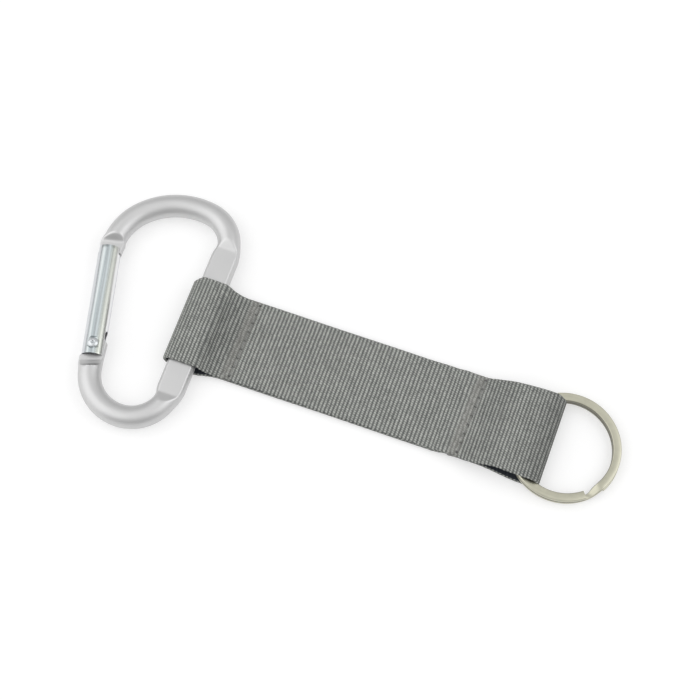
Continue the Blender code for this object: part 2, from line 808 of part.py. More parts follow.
def seam(name, x, thickness, webbing, parent, material):
    """Needle thread above and bobbin thread below, locked in every hole."""
    radius = THREAD_DIAMETER / 2
    inset = radius + THREAD_CLEARANCE / 2
    top = thickness - inset
    bottom = inset
    thread = thread_run(name, x, top, -STITCH_DIP, parent, material)
    below = thread_run(name + "_bobbin", x, bottom, STITCH_DIP, parent)
    posts = bmesh.new()
    channel = bmesh.new()
    holes = stitch_places()[0]
    for y in holes:
        for shape, size, low, high, count in (
            (posts, radius * 0.9, bottom, top, 8),
            (channel, radius + THREAD_CLEARANCE, -radius, thickness + radius, 8),
        ):
            made = bmesh.ops.create_cone(
                shape,
                cap_ends=True,
                segments=count,
                radius1=size,
                radius2=size,
                depth=high - low,
            )
            bmesh.ops.translate(
                shape, verts=made["verts"], vec=(x, y, (high + low) / 2)
            )
    boolean(thread, as_cutter(from_bmesh(name + "_posts", posts, parent, smooth=False)), "UNION")
    boolean(thread, as_cutter(below), "UNION")
    boolean(webbing, as_cutter(from_bmesh(name + "_holes", channel, parent, smooth=False)))
    wide = radius + THREAD_CLEARANCE
    reach = holes[-1] + wide
    deep = THREAD_DIAMETER + THREAD_CLEARANCE
    for part, low, high in (
        ("_top_groove", thickness - deep, thickness + deep),
        ("_bottom_groove", -deep, deep),
    ):
        outline = [(x - wide, -reach), (x + wide, -reach), (x + wide, reach), (x - wide, reach)]
        boolean(webbing, prism(name + part, outline, low, high, parent))


def split_ring(places, pose, parent, material):
    """Flattened spring wire wound twice, stepping down through a short jog."""
    lower = RING_TURN_THICKNESS / 2
    upper = lower + RING_TURN_THICKNESS + RING_TURN_GAP
    full = 2 * math.pi
    jog_start = full - RING_JOG
    end = 2 * full - RING_JOG
    middle = pose["outer"] - RING_WIRE_WIDTH / 2
    wide = RING_WIRE_WIDTH / 2
    tall = RING_TURN_THICKNESS / 2
    edge = RING_EDGE_ROUND
    flat = [(wide - edge, tall), (wide, tall - edge), (wide, edge - tall), (wide - edge, -tall)]
    profile = flat + [(-u, -w) for u, w in flat]
    turns = []
    for start, stop, count in (
        (0.0, jog_start, 60), (jog_start, full, 8), (full, end, 60),
    ):
        skip = 1 if turns else 0
        turns += [start + (stop - start) * i / count for i in range(skip, count + 1)]
    sections = []
    for turned in turns:
        angle = RING_START - turned
        height = upper + (lower - upper) * smooth_share(turned, jog_start, full)
        section = []
        for u, w in profile:
            radius = middle + u
            section.append((
                radius * math.cos(angle), radius * math.sin(angle), height + w,
            ))
        sections.append(section)
    shape = bmesh.new()
    loft(shape, sections)
    ring = from_bmesh("split_ring", shape, parent, material)
    lean = Matrix.Rotation(pose["tilt"], 4, "Y")
    hinge = Matrix.Translation((pose["outer"], 0.0, 0.0))
    place = Matrix.Translation((pose["pivot"] - pose["outer"], 0.0, 0.0))
    ring.data.transform(place @ hinge @ lean @ hinge.inverted())
    return ring


def build():
    remove_scene_objects()
    aluminium = finish("satin_metal", (0.72, 0.72, 0.71), 0.32)
    zinc = finish("zinc_plated_steel", (0.66, 0.69, 0.72), 0.28)
    steel = finish("spring_steel", (0.55, 0.56, 0.57), 0.3)
    nickel = finish("nickel_plated_steel", (0.70, 0.67, 0.62), 0.22)
    cloth = finish("grey_webbing", (0.20, 0.205, 0.19), 0.85, 0.0)
    cotton = finish("grey_thread", (0.27, 0.275, 0.26), 0.75, 0.0)

    layout = carabiner_layout()
    places = along_strap()
    pose = ring_pose(places)
    levels = strip_levels(pose)
    rod = ROD_DIAMETER / 2
    left_end = layout["nose"].x - NOSE_RADIUS - rod
    spine_x = -(left_end + pose["right_end"]) / 2
    axis_height = WEBBING_THICKNESS + SEAT_CLEARANCE + SPINE_SEAT_THICKNESS / 2

    carabiner = link("carabiner", None)
    carabiner.location = (spine_x, 0.0, axis_height)
    gate = link("gate", None, carabiner)
    rivet = layout["gate_start"] + layout["along"] * (SLEEVE_START + RIVET_TO_SLEEVE_END)
    gate.location = (rivet.x, rivet.y, 0.0)
    gate.rotation_euler = (0.0, 0.0, layout["lean"])
    plunger = link("plunger", None, gate)
    plunger.location = (0.0, plunger_rest(), 0.0)
    strap = link("strap", None, carabiner)
    table = Matrix.Translation((0.0, 0.0, -axis_height))
    ring = link("ring", None, strap)
    flex = Vector((places["flex"], 0.0, levels["second"] - axis_height))
    ring.location = flex

    carabiner_body(layout, carabiner, gate, aluminium)
    sleeve = gate_sleeve(gate, zinc)
    gate_rivet(gate, zinc)
    gate_plunger(plunger, steel)
    spring_end = gate_spring(gate, steel)
    spring_stop(sleeve, gate, spring_end + SPRING_STOP_DEPTH + 0.5 * MM)

    on_table = link("strap_on_table", None, strap)
    on_table.matrix_local = table
    webbing = strap_webbing(places, levels, on_table, cloth)
    two = 2 * WEBBING_THICKNESS + LAYER_GAP
    three = two + WEBBING_THICKNESS + LAYER_GAP
    seam("carabiner_seam", places["spine_seam"], two, webbing, on_table, cotton)
    seam("ring_seam", places["ring_seam"], three, webbing, on_table, cotton)
    turned = split_ring(places, pose, ring, nickel)
    turned.data.transform(Matrix.Translation((-flex.x, 0.0, -axis_height - flex.z)))

    bpy.context.view_layer.update()
    for obj in (gate, plunger, strap, ring):
        print(obj.name, "joint at, mm:", [round(v / MM, 3) for v in obj.matrix_world.translation])
    print("gate lean, degrees:", round(math.degrees(layout["lean"]), 3))
    print("ring tilt, degrees:", round(math.degrees(pose["tilt"]), 3))


build()
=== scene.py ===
# %% [markdown]
# # A webbing keychain
# The real object is a short strap of ribbed webbing, folded round the spine of a
# bent aluminium carabiner at one end and round a split ring at the other. This
# lesson starts from the solid parts, which already move on their joints, and
# gives each one the shape and finish that the eye sees.

# %% Open the solid parts
import math

import bmesh
import bpy
import numpy as np
from mathutils import Matrix, Vector


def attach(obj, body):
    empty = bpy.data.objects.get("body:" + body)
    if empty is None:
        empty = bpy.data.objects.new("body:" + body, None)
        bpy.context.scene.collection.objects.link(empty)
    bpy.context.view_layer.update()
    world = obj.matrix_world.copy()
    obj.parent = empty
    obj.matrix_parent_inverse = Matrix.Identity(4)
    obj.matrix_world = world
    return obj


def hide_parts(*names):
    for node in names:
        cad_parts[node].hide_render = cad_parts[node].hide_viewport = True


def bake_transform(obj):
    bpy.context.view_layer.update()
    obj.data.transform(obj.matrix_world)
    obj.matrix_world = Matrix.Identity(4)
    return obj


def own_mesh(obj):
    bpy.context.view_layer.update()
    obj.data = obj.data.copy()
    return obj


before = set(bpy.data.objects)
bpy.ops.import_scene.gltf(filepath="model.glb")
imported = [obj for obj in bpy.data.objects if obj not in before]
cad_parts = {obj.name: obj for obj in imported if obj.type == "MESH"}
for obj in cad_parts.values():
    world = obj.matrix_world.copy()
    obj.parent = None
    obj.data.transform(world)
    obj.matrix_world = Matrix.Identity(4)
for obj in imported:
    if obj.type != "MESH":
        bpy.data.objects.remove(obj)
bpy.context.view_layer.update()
MM = 0.001

# %% [markdown]
# ## The camera
# A camera could be placed by eye. Here its angles were worked out from the
# strap, whose straight edges and even ribs tell how far it turns and tips, so
# the picture has the perspective of a photograph taken from 60 cm away.

# %% Place the camera
LOOK_AT = Vector((-1.834, 8.12, 0.0)) * MM


def toward(azimuth, elevation):
    """The direction from the object to a viewer or a lamp."""
    turn = math.radians(azimuth)
    tip = math.radians(elevation)
    flat = math.cos(tip)
    return Vector((math.sin(turn) * flat, -math.cos(turn) * flat, math.sin(tip)))


view_line = toward(19.71, 69.07)
camera = bpy.data.objects.new("camera", bpy.data.cameras.new("camera"))
camera.data.sensor_width = 36.0
camera.data.lens = 108.74
camera.data.clip_start = 0.05
camera.location = LOOK_AT + view_line * 0.6
camera.rotation_euler = (-view_line).to_track_quat("-Z", "Y").to_euler()
bpy.context.scene.collection.objects.link(camera)
bpy.context.scene.camera = camera
print("camera at, mm:", [round(v / MM, 1) for v in camera.location])

# %% [markdown]
# ## Nodes as sums
# A material is a net of small nodes. Linking them by hand soon hides the idea,
# so a number that travels along a wire is wrapped in a class that knows how to
# add and multiply. A finish then reads like the sum that it is.

# %% Write shader sums in Python


class Wire:
    """A number on its way between two nodes."""

    def __init__(self, net, socket):
        self.net = net
        self.socket = socket

    def maths(self, operation, *terms):
        made = self.net.add("Math", {"operation": operation}, dict(enumerate(terms)))
        return Wire(self.net, made.outputs[0])

    def __add__(self, other):
        return self.maths("ADD", self, other)

    def __radd__(self, other):
        return self.maths("ADD", other, self)

    def __sub__(self, other):
        return self.maths("SUBTRACT", self, other)

    def __rsub__(self, other):
        return self.maths("SUBTRACT", other, self)

    def __mul__(self, other):
        return self.maths("MULTIPLY", self, other)

    def __rmul__(self, other):
        return self.maths("MULTIPLY", other, self)

    def __truediv__(self, other):
        return self.maths("DIVIDE", self, other)

    def __pow__(self, other):
        return self.maths("POWER", self, other)


class Net:
    """The nodes of one material, or of the world."""

    def __init__(self, tree):
        self.tree = tree

    def add(self, kind, settings=None, sockets=None):
        """A node, with its settings first and then its sockets' values or wires."""
        made = self.tree.nodes.new("ShaderNode" + kind)
        for name, value in (settings or {}).items():
            if name == "stops":
                ramp = made.color_ramp.elements
                while len(ramp) < len(value):
                    ramp.new(1.0)
                for stop, (place, colour) in zip(ramp, value):
                    stop.position = place
                    stop.color = (*colour, 1.0)
            else:
                setattr(made, name, value)
        for name, value in (sockets or {}).items():
            self.feed(made.inputs[name], value)
        return made

    def feed(self, socket, value):
        source = getattr(value, "socket", value)
        if isinstance(source, bpy.types.NodeSocket):
            self.tree.links.new(source, socket)
        elif socket.type == "RGBA" and len(source) == 3:
            socket.default_value = (*source, 1.0)
        else:
            socket.default_value = source

    def wire(self, kind, settings=None, sockets=None, output=0):
        return Wire(self, self.add(kind, settings, sockets).outputs[output])

    def blend(self, share, first, second):
        """A colour between two colours."""
        made = self.add("Mix", {"data_type": "RGBA"}, {0: share, 6: first, 7: second})
        return made.outputs[2]

    def noise(self, place, scale, detail=2.0, roughness=0.5):
        sockets = {"Vector": place, "Scale": scale, "Detail": detail, "Roughness": roughness}
        return self.wire("TexNoise", None, sockets)

    def fade(self, value, low, high, start=0.0, end=1.0):
        """start up to low, end from high on, and a soft S between them."""
        sockets = {0: value, 1: low, 2: high, 3: start, 4: end}
        return self.wire("MapRange", {"interpolation_type": "SMOOTHSTEP"}, sockets)

    def stretch(self, place, factors):
        made = self.add("VectorMath", {"operation": "MULTIPLY"}, {0: place, 1: factors})
        return made.outputs[0]


class Finish(Net):
    """A material with one Principled shader."""

    def __init__(self, name, **constants):
        self.material = bpy.data.materials.new(name)
        self.material.use_nodes = True
        super().__init__(self.material.node_tree)
        self.shader = self.tree.nodes["Principled BSDF"]
        for socket, value in constants.items():
            self.feed(self.shader.inputs[socket.replace("_", " ").title()], value)

    def set(self, socket, value):
        self.feed(self.shader.inputs[socket], value)

    def place(self):
        """Millimetres on the piece itself, which move with it."""
        own = self.add("TexCoord").outputs["Object"]
        return self.stretch(own, (1000.0, 1000.0, 1000.0))

    def stored(self, name):
        """A vector that was kept in the mesh, with its three numbers."""
        kept = self.add("Attribute", {"attribute_name": name}).outputs["Vector"]
        parts = self.add("SeparateXYZ", None, {0: kept})
        return kept, [Wire(self, output) for output in parts.outputs]

    def relief(self, height, depth, strength=1.0):
        """Lets a height between 0 and 1, depth metres tall, tilt the surface."""
        sockets = {"Height": height, "Distance": depth, "Strength": strength}
        self.set("Normal", self.add("Bump", None, sockets).outputs[0])


print("shader sums ready")

# %% [markdown]
# ## Light and floor
# A product photograph of bright metal needs something pale all round to
# reflect, and large soft lamps from the sides. The room is pale above and
# behind, and darker in front, where the photographer stands, so round rods show
# their form. The floor is white paper. It shows white to the camera and to the
# metal, and still takes the object's shadow.

# %% Light the table
world = bpy.data.worlds.new("studio")
world.use_nodes = True
bpy.context.scene.world = world
studio = Net(world.node_tree)
world.node_tree.nodes.clear()
ray = studio.add("LightPath")
seen = Wire(studio, ray.outputs["Is Camera Ray"])
mirrored = Wire(studio, ray.outputs["Is Glossy Ray"])
clear = Wire(studio, ray.outputs["Is Transmission Ray"])
direction = studio.add("TexCoord").outputs["Generated"]
aim = studio.add("SeparateXYZ", None, {0: direction}).outputs
right, back, height = [Wire(studio, output) for output in aim]
front = right * 0.5 - back * 0.87
sides = studio.fade(front, -0.6, 0.9, 0.68, 0.50)
risen = studio.fade(height, 0.5, 0.98)
room = sides + (0.90 - sides) * risen
white = (1.0, 1.0, 1.0)
ambient = studio.add("Background", None, {"Color": white, "Strength": studio.fade(height, 0.1, 0.9, 0.28, 0.74)})
backdrop = studio.add("Background", None, {"Color": white, "Strength": room})
seen = seen.maths("MAXIMUM", seen, mirrored.maths("MAXIMUM", mirrored, clear))
shown = studio.add("MixShader", None, {0: seen, 1: ambient.outputs[0], 2: backdrop.outputs[0]})
studio.add("OutputWorld", None, {"Surface": shown.outputs[0]})


def softbox(name, azimuth, elevation, distance, size, share):
    """A square lamp that lights a facing white card to share of full white."""
    lamp = bpy.data.lights.new(name, "AREA")
    lamp.size = size
    lamp.energy = share * (math.pi * distance)**2
    holder = bpy.data.objects.new(name, lamp)
    line = toward(azimuth, elevation)
    holder.location = LOOK_AT + line * distance
    holder.rotation_euler = (-line).to_track_quat("-Z", "Y").to_euler()
    bpy.context.scene.collection.objects.link(holder)


softbox("key_light", -68.0, 40.0, 1.0, 1.35, 0.46)
softbox("fill_light", 101.0, 43.0, 1.0, 0.9, 0.27)

bpy.context.scene.view_settings.view_transform = "Standard"

FLOOR_HEIGHT = -0.3 * MM
paper_floor = Finish("white_paper", roughness=0.9)
grain = paper_floor.noise(paper_floor.place(), 0.6, 4.0)
paper_floor.set("Base Color", paper_floor.blend(grain, (0.59, 0.59, 0.59), (0.61, 0.61, 0.61)))
paper_ray = paper_floor.add("LightPath")
paper_seen = Wire(paper_floor, paper_ray.outputs["Is Camera Ray"])
for kind in ("Is Glossy Ray", "Is Transmission Ray"):
    paper_seen = paper_seen.maths("MAXIMUM", paper_seen, paper_ray.outputs[kind])
paper_floor.set("Emission Color", paper_floor.blend(paper_seen, (0.0, 0.0, 0.0), (0.47, 0.47, 0.47)))
paper_floor.shader.inputs["Emission Strength"].default_value = 1.0
bpy.ops.mesh.primitive_plane_add(size=6.0, location=(0.0, 0.0, FLOOR_HEIGHT))
floor = bpy.context.object
floor.name = "floor"
floor.data.materials.append(paper_floor.material)
print("lamps and floor ready")

# %% [markdown]
# ## Building with grids
# Rods, rings and straps are all long things with one section, so one helper
# serves them all. It takes a table of points, one row for each station along
# the piece, and joins the rows into a closed skin. Extra numbers that a finish
# needs, such as how far along the thread a point is, are kept with each point.

# %% Make a skin from rows of points


def object_from(name, mesh, material):
    made = bpy.data.objects.new(name, mesh)
    bpy.context.scene.collection.objects.link(made)
    mesh.materials.append(material)
    return made


def keep_numbers(mesh, name, numbers):
    """Stores one vector for each point of a mesh."""
    kept = mesh.attributes.new(name, "FLOAT_VECTOR", "POINT")
    kept.data.foreach_set("vector", np.asarray(numbers, np.float32).ravel())


def skin(name, parts, material, numbers=None, sharp=50.0):
    """Closed tubes, each from an array of rows, columns and coordinates."""
    points = []
    faces = []
    first = 0
    for rows in parts:
        count, around = rows.shape[:2]
        index = first + np.arange(count * around).reshape(count, around)
        after = np.roll(index, -1, axis=1)
        quads = np.stack([index[:-1], after[:-1], after[1:], index[1:]], axis=-1)
        faces += quads.reshape(-1, 4).tolist()
        faces.append(index[0, ::-1].tolist())
        faces.append(index[-1].tolist())
        points.append(rows.reshape(-1, 3))
        first += count * around
    mesh = bpy.data.meshes.new(name)
    mesh.from_pydata(np.concatenate(points), [], faces)
    for kind, values in (numbers or {}).items():
        keep_numbers(mesh, kind, np.concatenate([v.reshape(-1, 3) for v in values]))
    shape = bmesh.new()
    shape.from_mesh(mesh)
    bmesh.ops.recalc_face_normals(shape, faces=shape.faces)
    shape.to_mesh(mesh)
    shape.free()
    mesh.shade_smooth()
    mesh.set_sharp_from_angle(angle=math.radians(sharp))
    print(f"{name}: {len(mesh.polygons)} faces")
    return object_from(name, mesh, material)


def smooth_share(value, low, high):
    share = np.clip((value - low) / (high - low), 0.0, 1.0)
    return share * share * (3.0 - 2.0 * share)


def soft_least(first, second, width):
    """The lesser of two values, with the corner between them rounded."""
    near = np.maximum(width - np.abs(first - second), 0.0) / width
    return np.minimum(first, second) - near**2 * width / 4.0


# %% [markdown]
# ## The carabiner's line
# The carabiner is one bent rod. Its middle line is a straight spine, a straight
# gate side that leans, and five arcs that meet without a corner. Drawing it
# with arcs, and not freehand, keeps the bends as even as a bending jig does.

# %% Draw the rod's middle line
SPINE_X = -44.574 * MM
AXIS_HEIGHT = 3.3 * MM
ROD = 3.3 * MM
BODY_HALF = 33.15 * MM
CORNER_RADIUS = 10.5 * MM
CROWN_RADIUS = 21.5 * MM
CROWN_OFFSET = 12.3 * MM
NOSE_RADIUS = 16.5 * MM
NOSE_JOIN = math.radians(135.0)
HEEL_RADIUS = 11.1 * MM
FOOT_RADIUS = 12.9 * MM
ROD_STEP = 0.4 * MM
LUG_STEP = 0.17 * MM

SLEEVE_START = 4.0 * MM
SLEEVE_LENGTH = 33.2 * MM
RIVET_TO_SLEEVE_END = 3.2 * MM
TONGUE_REACH = 1.55 * MM
LUG_TOP = 1.8 * MM

crown = np.array([-CROWN_OFFSET, BODY_HALF - CROWN_RADIUS])
corner_rise = math.sqrt((CROWN_RADIUS - CORNER_RADIUS)**2 - (CROWN_OFFSET - CORNER_RADIUS)**2)
corner = np.array([-CORNER_RADIUS, crown[1] + corner_rise])
corner_join = math.atan2(corner_rise, CROWN_OFFSET - CORNER_RADIUS)
nose_away = np.array([math.cos(NOSE_JOIN), math.sin(NOSE_JOIN)])
nose = crown + nose_away * (CROWN_RADIUS - NOSE_RADIUS)
heel = np.array([-HEEL_RADIUS, HEEL_RADIUS - BODY_HALF])
foot = np.array([-HEEL_RADIUS, FOOT_RADIUS - BODY_HALF])
between = nose - foot
slant = math.asin((NOSE_RADIUS - FOOT_RADIUS) / np.hypot(*between))
LEAN = math.atan2(-between[0], between[1]) + slant
along = np.array([-math.sin(LEAN), math.cos(LEAN)])
inward = np.array([math.cos(LEAN), math.sin(LEAN)])
gate_start = foot - inward * FOOT_RADIUS
gate_end = nose - inward * NOSE_RADIUS
rivet = gate_start + along * (SLEEVE_START + RIVET_TO_SLEEVE_END)


def arc(centre, radius, start, stop):
    count = math.ceil(abs(stop - start) * radius / ROD_STEP)
    angles = np.linspace(start, stop, count + 1)
    outward = np.stack([np.cos(angles), np.sin(angles)], axis=1)
    return np.hstack([centre + outward * radius, outward])


def straight(first, last, outward, step=ROD_STEP):
    count = math.ceil(np.hypot(*(last - first)) / step)
    share = np.linspace(0.0, 1.0, count + 1)[:, None]
    spots = first + (last - first) * share
    return np.hstack([spots, np.tile(outward, (count + 1, 1))])


def drop_repeats(rows):
    gaps = np.hypot(*np.diff(rows[:, :2], axis=0).T)
    return rows[np.concatenate([[True], gaps > 0.05 * MM])]


tongue_tip = SLEEVE_START + SLEEVE_LENGTH - TONGUE_REACH
gate_length = np.hypot(*(gate_end - gate_start))
TONGUE_PAST = max(0.0, tongue_tip - gate_length) / NOSE_RADIUS
NOSE_INSET = 0.4 * MM
NOSE_INSET_RUN = 30.0 * MM
TONGUE_BULGE = 0.38 * MM
line = drop_repeats(np.vstack([
    straight(gate_start + along * min(tongue_tip, gate_length), gate_end, -inward),
    arc(nose, NOSE_RADIUS, math.pi + LEAN - TONGUE_PAST, NOSE_JOIN),
    arc(crown, CROWN_RADIUS, NOSE_JOIN, corner_join),
    arc(corner, CORNER_RADIUS, corner_join, 0.0),
    straight(np.array([0.0, corner[1]]), np.array([0.0, heel[1]]), np.array([1.0, 0.0])),
    arc(heel, HEEL_RADIUS, 0.0, -math.pi / 2),
    arc(foot, FOOT_RADIUS, -math.pi / 2, LEAN - math.pi),
    straight(gate_start, rivet + along * LUG_TOP, -inward, LUG_STEP),
]))
print("rod stations:", len(line), "gate leans, degrees:", round(math.degrees(LEAN), 2))

# %% [markdown]
# ## Pressing the rod flat
# On the real carabiner a press squeezes the spine where the webbing lies, the
# tongue that enters the gate, and the lug that the gate turns on. Cutting flats
# with a knife tool would leave hard edges. Here each point of the round rod is
# held under a height that depends on where it is, with the corner rounded as a
# press rounds it.

# %% Press the spine, the tongue and the lug
SIDES = 96
SPINE_HALF_WIDTH = 4.1 * MM
SEAT_HALF = 2.1 * MM
SEAT_END = 23.35 * MM
SEAT_RAMP = 2.7 * MM
BLADE_HALF = 1.4 * MM
TONGUE_FLAT = 3.2 * MM
TONGUE_RAMP = 2.2 * MM
LUG_RAMP = 2.2 * MM
LUG_REACH = 2.05 * MM
LUG_SHOULDER = 0.3 * MM
LUG_SKEW = 0.13
LUG_SPREAD = 0.085
PRESSED_EDGE = 0.16 * MM
RAMP_FOOT = 0.5 * MM

run = np.concatenate([[0.0], np.cumsum(np.hypot(*np.diff(line[:, :2], axis=0).T))])
inset = NOSE_INSET * (1.0 - smooth_share(run, 0.0, NOSE_INSET_RUN))
line[:, :2] -= line[:, 2:] * inset[:, None]
spread = smooth_share(np.abs(line[:, 1]), SEAT_END - SEAT_RAMP, SEAT_END + SEAT_RAMP)
on_spine = line[:, 0] > -0.6 * HEEL_RADIUS
half = np.where(on_spine, SPINE_HALF_WIDTH + (ROD - SPINE_HALF_WIDTH) * spread, ROD)
tip_round = 3.75 * MM
ease = np.clip(run / tip_round, 0.0, 1.0)
bulge = TONGUE_BULGE * (1.0 - smooth_share(run, TONGUE_FLAT, TONGUE_FLAT + TONGUE_RAMP))
outer_half = half * (0.42 + 0.58 * np.sqrt(1.0 - (1.0 - ease)**2)) + bulge
inner_half = half * (0.97 + 0.03 * ease) + bulge * ease

turn = 2.0 * math.pi * np.arange(SIDES) / SIDES
side = np.where(np.cos(turn) > 0.0, outer_half[:, None], inner_half[:, None]) * np.cos(turn)
flat_x = line[:, 0:1] + line[:, 2:3] * side
flat_y = line[:, 1:2] + line[:, 3:4] * side
rod_height = np.broadcast_to(ROD * np.sin(turn), flat_x.shape)

gate_along = (flat_x - rivet[0]) * along[0] + (flat_y - rivet[1]) * along[1]
gate_across = (flat_x - rivet[0]) * inward[0] + (flat_y - rivet[1]) * inward[1]
seat_slope = (ROD - SEAT_HALF) / SEAT_RAMP
seat = SEAT_HALF + np.maximum(np.abs(flat_y) - SEAT_END, 0.0) * seat_slope
tongue_flat_top = SLEEVE_LENGTH - RIVET_TO_SLEEVE_END - TONGUE_REACH + TONGUE_FLAT
lug_flat_foot = -RIVET_TO_SLEEVE_END - 1.55 * MM
past_tongue = np.hypot(np.maximum(gate_along - tongue_flat_top, 0.0), RAMP_FOOT) - RAMP_FOOT
blade = BLADE_HALF + past_tongue * (ROD - BLADE_HALF) / (TONGUE_RAMP - RAMP_FOOT * 0.7)
freed = np.clip((lug_flat_foot - gate_along + LUG_SKEW * gate_across) / LUG_RAMP, 0.0, 1.0)
blade = blade + (ROD - BLADE_HALF) * (0.3 * freed + 0.7 * freed**7)
blade = np.where(freed > 0.99, 2.0 * ROD, blade)
limit = np.where(flat_x > -0.6 * HEEL_RADIUS, seat, np.where(gate_across < 4.0 * ROD, blade, 1.0))
pressed = np.sign(rod_height) * soft_least(np.abs(rod_height), limit, PRESSED_EDGE)
worn = np.clip(1.0 - np.abs(np.abs(rod_height) - limit) / (0.8 * MM), 0.0, 1.0)

on_lug = (gate_along > -RIVET_TO_SLEEVE_END - 0.2 * MM) & (gate_along < 3.0 * MM)
on_lug = on_lug & (gate_across < 2.0 * ROD)
rounded_top = np.sqrt(np.maximum(LUG_REACH**2 - np.maximum(gate_along, 0.0)**2, 0.0))
shoulder = ROD - LUG_SHOULDER * smooth_share(gate_along, 0.8 * MM, 1.6 * MM)
trimmed = np.where(on_lug, np.clip(gate_across, -rounded_top, shoulder), gate_across)
below = -RIVET_TO_SLEEVE_END - gate_along
spread_out = smooth_share(below, 0.2 * MM, 0.4 * MM) - smooth_share(below, 2.0 * MM, 5.0 * MM)
spread_in = smooth_share(-gate_along, -1.5 * MM, -0.8 * MM)
spread_in = 1.7 * spread_in * (1.0 - smooth_share(-gate_along, -1.5 * MM, 6.0 * MM))
spread_in = np.where(gate_across < 2.0 * ROD, spread_in, 0.0)
trimmed = trimmed * (1.0 + LUG_SPREAD * np.where(gate_across < 0.0, spread_out, spread_in))
flat_x = flat_x + (trimmed - gate_across) * inward[0]
flat_y = flat_y + (trimmed - gate_across) * inward[1]
rod_rows = np.stack([flat_x + SPINE_X, flat_y, pressed + AXIS_HEIGHT], axis=-1)
rod_place = np.stack([
    np.broadcast_to(run[:, None], flat_x.shape) / MM,
    np.broadcast_to(turn * ROD, flat_x.shape) / MM,
    worn,
], axis=-1)
print("pressed points:", int((np.abs(pressed) < np.abs(rod_height) - 1e-5).sum()))

# %% [markdown]
# ## Satin aluminium
# The rod is aluminium that was tumbled with small stones, so it is pale and
# even, with a fine grain that blurs every reflection. The grain is noise in the
# roughness and a trace of it in the surface. Pressed edges were rubbed against
# steel and are a little smoother.

# %% Mix the satin aluminium
satin = Finish("satin_aluminium", metallic=1.0)
satin_place = satin.place()
rod_kept, (rod_run, rod_turn, rod_worn) = satin.stored("rod_place")
fine = satin.noise(satin_place, 5.5, 3.0, 0.6)
cloud = satin.noise(satin_place, 0.16, 3.0)
drawn = satin.noise(satin.stretch(rod_kept, (0.12, 3.2, 0.0)), 1.0, 3.0, 0.6)
satin.set("Base Color", satin.blend(
    cloud * 0.6 + fine * 0.4, (0.575, 0.575, 0.58), (0.655, 0.655, 0.65)
))
satin.set("Roughness", 0.38 + fine * 0.14 + drawn * 0.06 - rod_worn * 0.06)
satin.relief(fine * 0.6 + drawn * 0.4, 0.02 * MM, 0.35)

RIVET_HOLE = 1.15 * MM
rod_piece = skin("carabiner_rod", [rod_rows], satin.material, {"rod_place": [rod_place]})
GATE_FRAME = (
    Matrix.Translation((SPINE_X + rivet[0], rivet[1], AXIS_HEIGHT)) @ Matrix.Rotation(LEAN, 4, "Z")
)


def settle(piece):
    """Makes what a piece's modifiers do part of its mesh."""
    ready = piece.evaluated_get(bpy.context.evaluated_depsgraph_get())
    piece.data = bpy.data.meshes.new_from_object(ready)
    piece.modifiers.clear()


bpy.ops.mesh.primitive_cylinder_add(vertices=48, radius=RIVET_HOLE, depth=4.0 * ROD)
drill = bpy.context.object
drill.matrix_world = GATE_FRAME
bore = rod_piece.modifiers.new("bore", "BOOLEAN")
bore.object = drill
bore.solver = "EXACT"
settle(rod_piece)
bpy.data.objects.remove(drill, do_unlink=True)
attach(rod_piece, "carabiner")
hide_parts("carabiner_body")
print("rod bored:", len(rod_piece.data.polygons), "faces")

# %% [markdown]
# ## The gate
# The gate is a strip of steel rolled into a tube, with a slot at the top for
# the tongue and a longer one at the foot for the lug. It could be cut with
# Booleans, but the strip it was rolled from is a plain grid with cells missing,
# so the grid is rolled instead. Slots, seam, rivet flats and the dimple that
# holds the spring are all places on that grid.

# %% Roll the gate from a sheet
SLEEVE_OUTER = 3.25 * MM
SLEEVE_INNER = 2.75 * MM
SLEEVE_SHIFT = 0.1 * MM
SEAM_HALF = 0.15 * MM
SLOT_HALF = 1.65 * MM
NOSE_SLOT_DEPTH = 2.0 * MM
HINGE_SLOT_DEPTH = 7.6 * MM
SLOT_CORNER = 0.74 * MM
FLAT_HEIGHT = 2.82 * MM
FLAT_RADIUS = 1.8 * MM
DIMPLE_AT = 24.55 * MM
DIMPLE_DEPTH = 1.0 * MM

sleeve_foot = -RIVET_TO_SLEEVE_END
sleeve_top = sleeve_foot + SLEEVE_LENGTH
slot_head = sleeve_foot + HINGE_SLOT_DEPTH
slot_floor = sleeve_top - NOSE_SLOT_DEPTH


def angle_at(height, radius):
    return math.asin(height / radius)


def steps(first, last, size):
    return np.linspace(first, last, max(2, round(abs(last - first) / size) + 1))[:-1]


